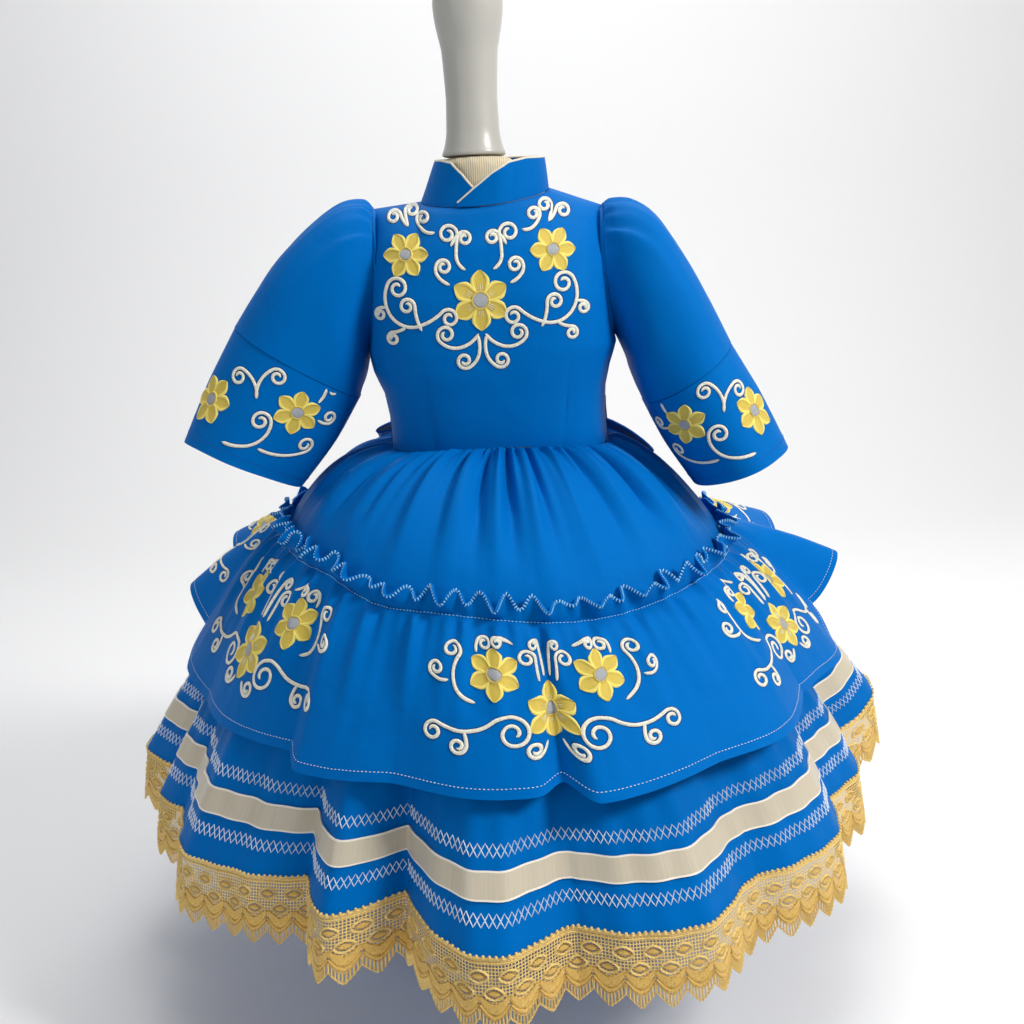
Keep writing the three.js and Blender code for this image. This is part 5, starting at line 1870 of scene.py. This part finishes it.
@dataclass
class SleevePair:
    """Both sleeves: a gathered puff and a flared, embroidered cuff on each side."""

    columns: int = 168
    hem_stitches: float = 9.0

    def build(self) -> None:
        """Builds the sleeves, the cuffs and what is sewn on them."""
        plan = (
            ("left", SLEEVE_LEFT, CUFF_LEFT, (-GAP, 0, 0), (-GAP, 0, -GAP * 1.5)),
            ("right", SLEEVE_RIGHT, CUFF_RIGHT, (GAP * 1.6, 0, 0), (GAP, 0, -GAP * 1.5)),
        )
        for name, upper, lower, first, second in plan:
            puff = Sleeve(upper, True, SEED + 31)
            cuff = Sleeve(lower, False, SEED + 32)
            self.panel(f"puff_sleeve_{name}", f"sleeve_{name}", puff, 73, first)
            self.panel(f"flared_cuff_{name}", f"cuff_{name}", cuff, 37, second)
            self.dress(name, cuff)

    def panel(
        self, name: str, node: str, surface: Sleeve, rows: int, start: Sequence[float],
    ) -> None:
        """Builds one ring of cloth, drawn back from the seam by start."""
        turn = np.linspace(0, 360, self.columns, endpoint=False) * -surface.side
        v = np.linspace(0, len(surface.rings) - 1, rows)
        grid = surface_grid(surface, turn, v)
        grid = grid + np.array(start) * np.clip(1 - v * 2, 0, 1)[:, None, None]
        cloth_piece(name, node, grid, True)

    def dress(self, name: str, cuff: Sleeve) -> None:
        """Sews the scrolls, the flowers and the hem stitches on a cuff."""
        side = cuff.side
        last = len(cuff.rings) - 1
        places = CUFF_PLACES[name]
        u, v = self.nearest(cuff, *places.front)
        chart = SurfaceChart(cuff, u, v, 1 / CUFF_RING, places.tilt, turn=-side)
        stitched = Embroidery(f"cuff_{name}")

        def on_cuff(path: Array) -> Array:
            """Returns where a path lies between the cuff's two edges."""
            up = path[:, 0] * math.sin(chart.tilt) + path[:, 1] * math.cos(chart.tilt)
            level = chart.v_at - up * chart.v_per_mm
            return (level > 0.06) & (level < last - 0.08)

        for scroll in CUFF_SCROLLS:
            stitched.scroll(chart, scroll.path(-side), keep=on_cuff)
        stitched.flower(chart, Flower(0, 0, CUFF_FLOWER, places.first))
        u, v = self.nearest(cuff, *places.edge)
        edge = SurfaceChart(cuff, u - 8, v, 1 / CUFF_RING, places.tilt, turn=-side)
        stitched.flower(edge, Flower(0, 0, CUFF_FLOWER, 100))
        stitched.finish()
        row = row_along(cuff, last - self.hem_stitches / CUFF_RING, CUFF_HEM, turn=-side)
        STITCHES.lay(f"cuff_hem_stitches_{name}", CUFF_HEM, *row)

    @staticmethod
    def nearest(cuff: Sleeve, x: float, z: float) -> tuple[float, float]:
        """Returns the place on the front of the cuff that is seen at x and z."""
        u, v = np.meshgrid(np.linspace(5, 175, 171), np.linspace(0.1, 1.9, 91))
        points = cuff.points(u, v)
        best = np.argmin((points[..., 0] - x) ** 2 + (points[..., 2] - z) ** 2)
        return float(u.ravel()[best]), float(v.ravel()[best])


@dataclass
class FlounceGroup:
    """Where one group of scrolls and flowers lies on the flounce."""

    angle: float
    along: float


@dataclass
class Skirt:
    """Three tiers: a pleated dome, an embroidered flounce and a trimmed lower tier."""

    groups: tuple[FlounceGroup, ...] = tuple(
        FlounceGroup(angle, along) for angle, along in (
            (MIDDLE_GROUP, 60), (-56, 60), (67, 60), (127, 58), (187, 58), (-115, 58),
        )
    )
    topstitch: float = 142.0
    first: SkirtTier = field(default_factory=SkirtTier)
    flounce: Flounce = field(default_factory=Flounce)
    lower: LowerTier = field(default_factory=LowerTier)

    def build(self) -> None:
        """Builds the tiers and all that is sewn on them."""
        self.tiers()
        self.embroider()
        self.stitch()
        self.zigzags()

    def tiers(self) -> None:
        """Builds the three rings of cloth and the ribbon."""
        plan = (
            ("gathered_first_tier", "skirt_tier", self.first, 624, np.linspace(0, 1, 41),
             "form_torso"),
            ("embroidered_flounce", "flounce", self.flounce, 960, np.concatenate([
                np.linspace(-HEADING_HEIGHT, 0, 9)[:-1], np.linspace(0, FLOUNCE_LENGTH, 37),
            ]), "skirt_tier"),
            ("gathered_lower_tier", "lower_tier", self.lower, LOWER_COLUMNS, np.linspace(0, 1, 41),
             "skirt_tier"),
        )
        for name, node, surface, columns, v, rests_on in plan:
            grid = surface_grid(surface, around(columns), v)
            cloth_piece(name, node, grid, True)
        above = np.linspace(RIBBON_ABOVE_HEM + RIBBON_WIDTH, RIBBON_ABOVE_HEM, 7)
        v = 1 - above / LOWER_LENGTH
        grid = surface_grid(self.lower, around(LOWER_COLUMNS), v, GAP * 1.4 + THIN_WALL)
        cloth_piece("satin_ribbon_band", "ribbon_band", grid, True,
                    THIN_WALL, SATIN, Slot.RIBBON)

    def embroider(self) -> None:
        """Lays the groups of scrolls and flowers round the flounce."""
        stitched = Embroidery("flounce")
        for group in self.groups:
            chart = SurfaceChart(self.flounce, group.angle, group.along, 1.0)

            def shows(path: Array, chart: SurfaceChart = chart) -> Array:
                """Returns where a path lies between the seam and the topstitching."""
                level = chart.v_at - path[:, 1]
                return (level > 4) & (level < self.topstitch - 2)

            for scroll in FLOUNCE_SCROLLS:
                for mirror in BOTH_SIDES:
                    stitched.scroll(chart, scroll.path(mirror), keep=shows)
            for flower in FLOUNCE_FLOWERS:
                stitched.flower(chart, flower)
        stitched.finish()

    def stitch(self) -> None:
        """Sews the flounce's hem, its seam and the overlock of its ruffled heading."""
        plan = (
            ("flounce_hem_stitches", FLOUNCE_HEM, self.topstitch, False),
            ("flounce_seam_stitches", FLOUNCE_SEAM, 1.0, False),
            ("heading_overlock", OVERLOCK, -HEADING_HEIGHT + 1.2, True),
        )
        for name, seam, along, upright in plan:
            STITCHES.lay(name, seam, *row_along(self.flounce, along, seam, upright))

    def zigzags(self) -> None:
        """Sews the two rows of crossed zigzag above and below the ribbon."""
        for k, height in enumerate(ZIGZAGS_ABOVE_HEM):
            v = 1 - height / LOWER_LENGTH
            chart = GirthChart(self.lower, v, 1 / LOWER_LENGTH)
            bars = round(chart.girth / ZIGZAG_STITCH / 2) * 2
            x = np.linspace(-chart.girth / 2, chart.girth / 2, 4 * bars + 1)
            crossed = Sweeps()
            for phase in (1, -1):
                y = 5.0 * phase * (1 - np.abs(np.mod(np.arange(4 * bars + 1) / 4, 2) - 1) * 2)
                crossed.sweep(chart, column(x, y), 0.95, 0.6, THIN)
            piece(crossed.build(f"zigzag_stitches_{k + 1}"), WHITE_THREAD, Slot.STITCH)


class GirthChart(Chart):
    """A chart that runs once round a ring at true length, with y upwards."""

    def __init__(self, surface: Surface, v_at: float, v_per_mm: float) -> None:
        """Measures the ring at v_at."""
        self.surface = surface
        self.v_at = v_at
        self.v_per_mm = v_per_mm
        self.steps = np.linspace(-180, 180, 4001)
        line = surface.points(self.steps, np.full_like(self.steps, v_at))
        run = path_run(line)
        self.girth = float(run[-1])
        self.run = run - self.girth / 2

    def place(self, flat: Array) -> tuple[Array, Array]:
        """Returns the points and outward directions under N by 2 flat points."""
        u = np.interp(flat[:, 0], self.run, self.steps)
        v = self.v_at - flat[:, 1] * self.v_per_mm
        normals = self.surface.normals(u, v, 0.15, self.v_per_mm)
        return self.surface.points(u, v), normals


# ---- lace -----------------------------------------------------------------------------------
SCALLOPS = 104
PITCH = 23.3
LACE_HEIGHT = 58.0
LACE_FLARE = 9.0
LENS_HALF_WIDTH = 7.5
LENS_HALF_HEIGHT = 4.75
HEM = LowerTier()


@dataclass(frozen=True)
class LensRow:
    """A row of open lenses: its place along a scallop and below the lace's top edge."""

    shift: float
    drop: float


LENS_ROWS = (LensRow(0.0, 14.5), LensRow(0.5, 27.0))


def lace_point(degrees: Array, drop: Array) -> Array:
    """Returns points of the lace, which hangs flared from the lower tier's hem."""
    top = HEM.points(degrees, np.ones_like(degrees))
    r = np.hypot(top[..., 0], top[..., 1])
    grown = (r + LACE_FLARE * drop / LACE_HEIGHT + np.where(drop < 0, 0.6, 0.0)) / r
    return column(top[..., 0] * grown, top[..., 1] * grown, top[..., 2] - GAP - drop)


@dataclass
class Lace:
    """The scalloped lace: a net ground, satin fans, laddered edges, lenses and beads."""

    net_columns: int = 10
    net_middle: float = 46.0
    net_rise: float = 12.0
    head_cords: tuple[tuple[float, float], ...] = ((1.2, 1.7), (4.0, 1.3))
    bars: int = 10
    picots_above: float = 1.1
    lens_middle: float = 4.6

    @staticmethod
    def arc(middle: float, rise: float, half: float, count: int, power: float) -> Array:
        """Returns a hanging arc across one scallop as flat points."""
        x = np.linspace(-half, half, count)
        return column(x, rise * np.abs(x / (PITCH / 2)) ** power - middle)

    def build(self) -> None:
        """Builds the lace's pieces."""
        self.ground()
        chart = RingChart()
        fans, cords = Sweeps(), Sweeps()
        for k in range(SCALLOPS):
            at = np.array([(k + 0.5) * PITCH, 0.0])
            self.fan(fans, chart, at)
            self.edge(cords, chart, at)
            for row in LENS_ROWS:
                self.lens(cords, fans, chart, np.array([(k + row.shift) * PITCH, -row.drop]))
        whole = SCALLOPS * PITCH
        for drop, width in self.head_cords:
            x = np.linspace(0, whole, SCALLOPS * 8 + 1)
            cords.sweep(chart, column(x, -drop), width, 1.0, THIN)
        piece(fans.build("lace_satin_fans"), DARK_GOLD, Slot.LACE)
        piece(cords.build("lace_cords"), GOLD, Slot.LACE)
        x = np.arange(PICOTS.pitch / 2, whole, PICOTS.pitch)
        points, up = chart.place(column(x, self.picots_above))
        beads = STITCHES.lay("lace_picots", PICOTS, points + up * PICOTS.lift,
                             np.gradient(points, axis=0), up)

    def ground(self) -> None:
        """Builds the open net that carries the cords."""
        columns = SCALLOPS * self.net_columns
        x = np.arange(columns + 1) * PITCH / self.net_columns
        off = np.mod(x, PITCH) - PITCH / 2
        low = self.net_middle - self.net_rise * np.abs(off / (PITCH / 2)) ** 1.7
        share = np.linspace(0, 1, 7)[:, None]
        drop = share * low
        degrees = -180 + x / PITCH * (360 / SCALLOPS)
        grid = lace_point(np.broadcast_to(degrees, drop.shape), drop)
        j, i = cells(len(grid) - 1, columns)
        corners = [(j, i), (j + 1, i), (j + 1, i + 1), (j, i + 1)]
        faces = np.stack([a * columns + b % columns for a, b in corners], axis=1)
        uvs = np.stack([column(x[b], drop[a, b]) / 1000 for a, b in corners], axis=1)
        item = make_mesh("lace_net", grid[:, :-1].reshape(-1, 3), [faces], [uvs])
        piece(item, GROUND, Slot.LACE, "lace_edge")
        declare_sheet(item, grid[:, :-1], True)

    def fan(self, fans: Sweeps, chart: Chart, at: Array) -> None:
        """Adds one scallop's two bands of satin."""
        half = PITCH / 2 - 0.6
        x = np.linspace(-1, 1, 11)
        path = self.arc(39.0, 10.5, half, 11, 1.7)
        fans.sweep(chart, at + path, 2.5 + 6.0 * (1 - x * x), 1.2, BAND)
        path = self.arc(45.3, 11.0, half, 11, 1.6)
        fans.sweep(chart, at + path, 1.6 + 2.0 * (1 - x * x), 1.5, CORD)

    def edge(self, cords: Sweeps, chart: Chart, at: Array) -> None:
        """Adds one scallop's ladders and its pointed edge."""
        half = PITCH / 2 - 0.25
        for middle, rise, power, width in ((48.3, 10.8, 1.5, 0.9), (56.9, 11.4, 1.2, 1.3)):
            cords.sweep(chart, at + self.arc(middle, rise, half, 11, power), width, 1.0, THIN)
        inner = self.arc(47.3, 10.9, half - 0.4, self.bars, 1.5)
        outer = self.arc(58.0, 11.8, half + 0.2, self.bars, 1.2)
        for a, b in zip(inner, outer):
            cords.sweep(chart, at + np.stack([a, mix(a, b, 0.5), b]), 1.5, 1.2, THIN)

    def lens(self, cords: Sweeps, fans: Sweeps, chart: Chart, at: Array) -> None:
        """Adds one lens: its pointed outline, spokes and solid middle."""
        turn = np.linspace(0, math.tau, 17)
        x = np.cos(turn)
        y = np.sin(turn) * LENS_HALF_HEIGHT * (1 - 0.25 * np.abs(x))
        outline = column(x * LENS_HALF_WIDTH, y)
        cords.sweep(chart, at + outline, 2.2, 1.4, THIN)
        for angle in np.radians(np.arange(12) * 30 + 15):
            way = np.array([math.cos(angle) * LENS_HALF_WIDTH, math.sin(angle) * LENS_HALF_HEIGHT])
            cords.sweep(chart, at + np.stack([way * 0.5, way * 0.95]), 0.7, 0.7, THIN)
        t = np.linspace(-1, 1, 7)
        width = 0.3 + self.lens_middle * (1 - t * t)
        line = at + column(t * self.lens_middle, 0)
        fans.sweep(chart, line, width, 1.0, CORD)


# ---- sash and bow ---------------------------------------------------------------------------
KNOT = np.array([4.0, 92.0, 16.0])
KNOT_SIZE = np.array([13.0, 11.0, 16.0])


def back_point(across: Array, z: Array, out: float) -> Array:
    """Returns points over the bodice's back, out millimetres away from it."""
    power = squareness(z)
    depth = rounded(across, power)
    half, back = body(1, z), body(3, z)
    way = unit(column(
        np.sign(across) * np.abs(across) ** (power - 1) / half,
        depth ** (power - 1) / back, 0 * z,
    ))
    return column(body(4, z) + half * across, back * depth, z) + way * out


def dome_height(x: Array, y: Array) -> Array:
    """Returns the first tier's height at a place, without its pleats."""
    degrees = np.degrees(np.arctan2(x, -y))
    top = waist(degrees)
    inner = np.hypot(top[..., 0], top[..., 1])
    outer = smooth(SEAM_TABLE, 1, degrees)
    v = np.clip((np.hypot(x, y) - inner) / (outer - inner), 0, 1)
    return mix(top[..., 2], smooth(SEAM_TABLE, 2, degrees), dome_fall(degrees, v))


def side_name(x: float) -> str:
    """Returns the name of the side that x lies on."""
    return "right" if x > 0 else "left"


@dataclass(frozen=True)
class Loop:
    """One loop of the bow."""

    side: int
    length: float
    forward: float
    half_width: float
    half_depth: float = 5.0


@dataclass(frozen=True)
class Tail:
    """One hanging end of the sash."""

    lean: float
    length: float
    spread: float


@dataclass
class SashBow:
    """The sash that ties in a bow behind."""

    loops: tuple[Loop, ...] = (Loop(1, 158, 14, 19), Loop(-1, 124, 8, 18))
    tails: tuple[Tail, ...] = (Tail(38, 140, 27), Tail(-36, 130, 26))
    root: float = 12.0

    def build(self) -> None:
        """Builds the sash, the loops, the tails and the knot."""
        for side in (-1, 1):
            name = side_name(side)
            cloth_piece(f"sash_band_{name}", f"sash_{name}", self.sash(side), False)
        for loop in self.loops:
            name = side_name(loop.side)
            cloth_piece(f"bow_loop_cloth_{name}", f"bow_loop_{name}", self.loop(loop), False)
        for tail in self.tails:
            name = side_name(tail.lean)
            cloth_piece(f"bow_tail_cloth_{name}", f"bow_tail_{name}", self.tail(tail), False)
        self.knot()

    def sash(self, side: int) -> Array:
        """Returns the band from a side seam round to the knot."""
        share, t = np.meshgrid(np.linspace(1, 0, 13), np.linspace(98, 170, 61), indexing="ij")
        near = (t - 98) / 72
        height = mix(34.0, 22.0, near)
        foot = waist(side * t)
        z = foot[..., 2] + 3 + (34 - height) / 2 + share * height
        grid = back_point((foot[..., 0] - WAIST_X) / WAIST_HALF, z, WALL + 2.4)
        folds = 0.8 * np.cos(share * math.tau * 2.5 + 2 * near) * np.sin(np.pi * share) * near
        grid = grid + column(0 * near, folds, 0 * near)
        return grid if side > 0 else grid[:, ::-1]

    def loop(self, loop: Loop) -> Array:
        """Returns a loop: out from the knot, along the skirt and back over itself."""
        across, t = np.meshgrid(
            np.linspace(-1, 1, 13), np.linspace(self.root, 360 - self.root, 65), indexing="ij",
        )
        turn = np.radians(t)
        out = (math.cos(math.radians(self.root)) - np.cos(turn)) / 2
        narrow = mix(0.3, 1.0, np.maximum(out, 0) ** 0.7)
        x = KNOT[0] + loop.side * (KNOT_SIZE[0] + GAP * 1.5 + (loop.length - 12) * out)
        y = KNOT[1] + 4 - loop.forward * out + across * loop.half_width * narrow
        lying = dome_height(x, y) + 5 + loop.half_depth
        middle = mix(KNOT[2], lying, ease(out / 0.3))
        crease = 1.5 * np.cos(across * np.pi * 1.5) * (1 - out)
        crease = crease + 0.8 * np.cos(across * 9 + out * 4) * (1 - out) * out * 3
        grid = column(x, y, middle + loop.half_depth * np.sin(turn) * narrow + crease)
        return grid if loop.side > 0 else grid[:, ::-1]

    def tail(self, tail: Tail) -> Array:
        """Returns a tail that falls from the knot over the back of the skirt."""
        share_v, across = np.meshgrid(np.linspace(0, 1, 41), np.linspace(1, -1, 17),
                                      indexing="ij")
        sign = np.sign(tail.lean)
        cut = across * 14 * sign * np.clip(share_v * 7 - 6, 0, 1)
        along = share_v * tail.length + cut
        v = np.maximum(0, along / tail.length)
        width = mix(9.0, tail.spread, np.minimum(1, v * 1.4))
        x = KNOT[0] + tail.lean * v ** 0.8 + sign * 11 + across * width
        share = np.minimum(0.88, 0.1 + along / 175)
        angle = 180 - np.degrees(np.arctan2(x, mix(KNOT[1], 220.0, share)))
        dome = first_tier(angle, share)
        ripple = 2.5 * np.cos(across * np.pi * 1.5)
        ripple = ripple + 0.7 * np.cos(across * 11 + share_v * 5) * share_v
        at_root = np.maximum(0, 1 - v * 3)
        return column(
            x, np.maximum(dome[..., 1], KNOT[1]) + 10 + ripple + at_root,
            dome[..., 2] + 10 - 3.6 * at_root,
        )

    def knot(self) -> None:
        """Builds the knot as a creased roll of cloth."""
        turn, rise = np.meshgrid(np.linspace(0, math.tau, 48, endpoint=False),
                                 np.linspace(math.pi / 2, -math.pi / 2, 25), indexing="xy")
        creases = 1 - 0.035 * (1 + np.cos(9 * turn + 1.5 * np.sin(2 * rise))) * np.cos(rise)
        ball = column(np.cos(rise) * np.sin(turn) * creases,
                      -np.cos(rise) * np.cos(turn) * creases, np.sin(rise))
        grid = KNOT + (0, 3, 0) + ball * KNOT_SIZE
        item = lathe_mesh("bow_knot_cloth", grid)
        piece(item, CLOTH, Slot.CLOTH, "bow_knot")


def lathe_mesh(name: str, grid: Array) -> bpy.types.Object:
    """Makes a closed round body from rings whose first and last have shrunk to a point."""
    rows, columns = grid.shape[:2]
    inner = grid[1:-1].reshape(-1, 3)
    top, low = len(inner), len(inner) + 1
    points = np.concatenate([inner, grid[0, :1], grid[-1, :1]])
    j, i = cells(rows - 3, columns)
    n = (i + 1) % columns
    quads = np.stack([j * columns + i, (j + 1) * columns + i, (j + 1) * columns + n,
                      j * columns + n], axis=1)
    i = np.arange(columns)
    n = (i + 1) % columns
    last = (rows - 3) * columns
    caps = np.concatenate([
        np.stack([np.full_like(i, top), i, n], axis=1),
        np.stack([np.full_like(i, low), last + n, last + i], axis=1),
    ])
    scale = 0.05
    uvs = [np.stack([f % columns / columns, f // columns / rows], axis=-1) * scale
           for f in (quads, caps)]
    return make_mesh(name, points, [quads, caps], uvs, 40)


# ---- dress form and stand -------------------------------------------------------------------
@dataclass
class Turned:
    """A round body turned about an upright axis."""

    name: str
    node: str
    finish: Finish
    slot: Slot
    profile: tuple[tuple[float, float], ...]
    x: float = 0.0
    columns: int = 96

    def build(self) -> None:
        """Builds the body; the profile runs down from the axis and back to it."""
        r, z = np.array(self.profile).T
        turn = np.linspace(0, math.tau, self.columns, endpoint=False)
        grid = column(
            self.x + r[:, None] * np.sin(turn), -r[:, None] * np.cos(turn),
            np.repeat(z[:, None], self.columns, axis=1),
        )
        piece(lathe_mesh(self.name, grid), self.finish, self.slot, self.node)


def rounded_profile(corners: Sequence[tuple[float, float]], soft: float) -> tuple:
    """Returns a profile whose corners are rounded by up to soft millimetres."""
    line = [corners[0]]
    for a, b, c in zip(corners, corners[1:], corners[2:]):
        a, b, c = np.array(a), np.array(b), np.array(c)
        before = min(soft, np.linalg.norm(b - a) * 0.45)
        after = min(soft, np.linalg.norm(c - b) * 0.45)
        first = b + (a - b) / np.linalg.norm(a - b) * before
        last = b + (c - b) / np.linalg.norm(c - b) * after
        for t in np.linspace(0, 1, 5):
            line.append(tuple((1 - t) ** 2 * first + 2 * t * (1 - t) * b + t * t * last))
    line.append(corners[-1])
    return tuple(line)


# radius, height above the body's own foot
NECK_BLOCK = (
    (0, 137), (28, 136), (31, 132), (31, 122), (29, 108), (25, 90), (23, 50), (24, 20),
    (26.5, 8), (30, 0), (0, 0),
)
STAND_BASE = ((0, 12), (90, 12), (117, 10), (120, 7), (120, 2), (118, 0), (0, 0))


@dataclass
class DressForm:
    """The jersey-covered torso, the turned neck block and the stand."""

    block_foot: float = 261.3
    block_x: float = -7.0
    pole_radius: float = 11.0
    pole_top: float = -77.3
    pole_foot: float = 12.3 - WAIST_HEIGHT

    def build(self) -> None:
        """Builds the form and the stand."""
        self.torso()
        profile = rounded_profile([(r, z + self.block_foot) for r, z in NECK_BLOCK], 5)
        Turned("turned_neck_block", "neck_block", BLOCK, Slot.NECK, profile, self.block_x).build()
        r, low, high = self.pole_radius, self.pole_foot, self.pole_top
        profile = rounded_profile([(0, high), (r, high), (r, low), (0, low)], 0.6)
        Turned("stand_tube", "stand_pole", STAND_PAINT, Slot.STAND, profile).build()
        profile = rounded_profile([(r, z - WAIST_HEIGHT) for r, z in STAND_BASE], 1.5)
        Turned("stand_foot", "stand_base", STAND_PAINT, Slot.STAND, profile).build()

    @staticmethod
    def torso() -> None:
        """Builds the covered torso as a smoother copy of its solid."""
        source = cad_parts["form_torso"]
        item = linked("jersey_torso", source.data.copy())
        weld = item.modifiers.new("weld", "WELD")
        weld.merge_threshold = 0.00005
        smooth_skin = item.modifiers.new("skin", "SUBSURF")
        smooth_skin.levels = smooth_skin.render_levels = 2
        graph = bpy.context.evaluated_depsgraph_get()
        mesh = bpy.data.meshes.new_from_object(item.evaluated_get(graph), depsgraph=graph)
        item.modifiers.clear()
        item.data = mesh
        mesh.polygons.foreach_set("use_smooth", np.ones(len(mesh.polygons), dtype=bool))
        piece(item, JERSEY, Slot.JERSEY, "form_torso")


# ---- studio ---------------------------------------------------------------------------------
@dataclass
class Studio:
    """The pale floor and backdrop, soft lights and the camera."""

    camera_at: tuple[float, float, float] = (0.015, -1.046, 0.720)
    pitch: float = 14.5
    roll: float = 2.2
    lens: float = 38.67

    def build(self) -> None:
        """Builds the studio."""
        self.backdrop()
        warm, cool, white = (1.0, 0.98, 0.95), (0.93, 0.96, 1.0), (1.0, 1.0, 1.0)
        self.light("key", (1.7, -0.9, 1.9), size=0.6, power=46.0, colour=warm)
        self.light("fill", (-1.6, -1.8, 1.3), size=1.4, power=9.0, colour=cool)
        self.light("top", (0.1, 0.2, 2.8), size=1.0, power=14.0, colour=white)
        self.light("backdrop", (0.0, 0.9, 2.6), size=2.0, power=26.0, colour=white,
                   target=(0.0, 2.2, 0.3))
        world = bpy.data.worlds.new("studio")
        bpy.context.scene.world = world
        world.use_nodes = True
        sky = world.node_tree.nodes["Background"].inputs
        sky["Color"].default_value = (0.93, 0.95, 1.0, 1.0)
        sky["Strength"].default_value = 0.26
        bpy.context.scene.view_settings.view_transform = "Standard"
        data = bpy.data.cameras.new("camera")
        data.lens = self.lens
        data.sensor_width = 36.0
        data.clip_end = 50.0
        camera = linked("camera", data)
        turn = Matrix.Rotation(math.radians(90 - self.pitch), 4, "X")
        turn = turn @ Matrix.Rotation(math.radians(-self.roll), 4, "Z")
        camera.matrix_world = Matrix.Translation(self.camera_at) @ turn
        bpy.context.scene.camera = camera

    def backdrop(self) -> None:
        """Builds the floor and a backdrop that rises softly behind it."""
        turn = np.linspace(0, math.pi / 2, 13)
        y = np.concatenate([[-4000, 0], 1500 + 900 * np.sin(turn), [2400]])
        z = np.concatenate([[0, 0], 900 - 900 * np.cos(turn), [4000]])
        x = np.array([-4500.0, 4500.0])
        grid = column(x[:, None], y[None], z[None] - WAIST_HEIGHT)
        n = len(y)
        j = np.arange(n - 1)
        faces = np.stack([j, n + j, n + j + 1, j + 1], axis=1)
        item = make_mesh("floor", grid.reshape(-1, 3), [faces])
        paper = Finish("pale_paper", (243, 243, 243), 0.9, 0.1, patches=0.01, patch_scale=1.0)
        item.data.materials.append(paper.material())

    @staticmethod
    def light(
        name: str, at: tuple[float, float, float], size: float, power: float,
        colour: tuple[float, float, float], target: tuple[float, float, float] = (0, 0, 0.45),
    ) -> None:
        """Adds a soft square light that looks at its target, the dress if none is named."""
        data = bpy.data.lights.new(name, "AREA")
        data.size = size
        data.energy = power
        data.color = colour
        aim = (Vector(target) - Vector(at)).to_track_quat("-Z", "Y").to_matrix().to_4x4()
        linked(name, data).matrix_world = Matrix.Translation(at) @ aim


def main() -> None:
    """Builds the dress, its form and the studio."""
    logging.basicConfig(level=logging.INFO, format="%(name)s: %(message)s")
    for part in (Studio, DressForm, Bodice, Collar, SleevePair, Skirt, Lace, SashBow):
        part().build()


if __name__ == "__main__":
    main()
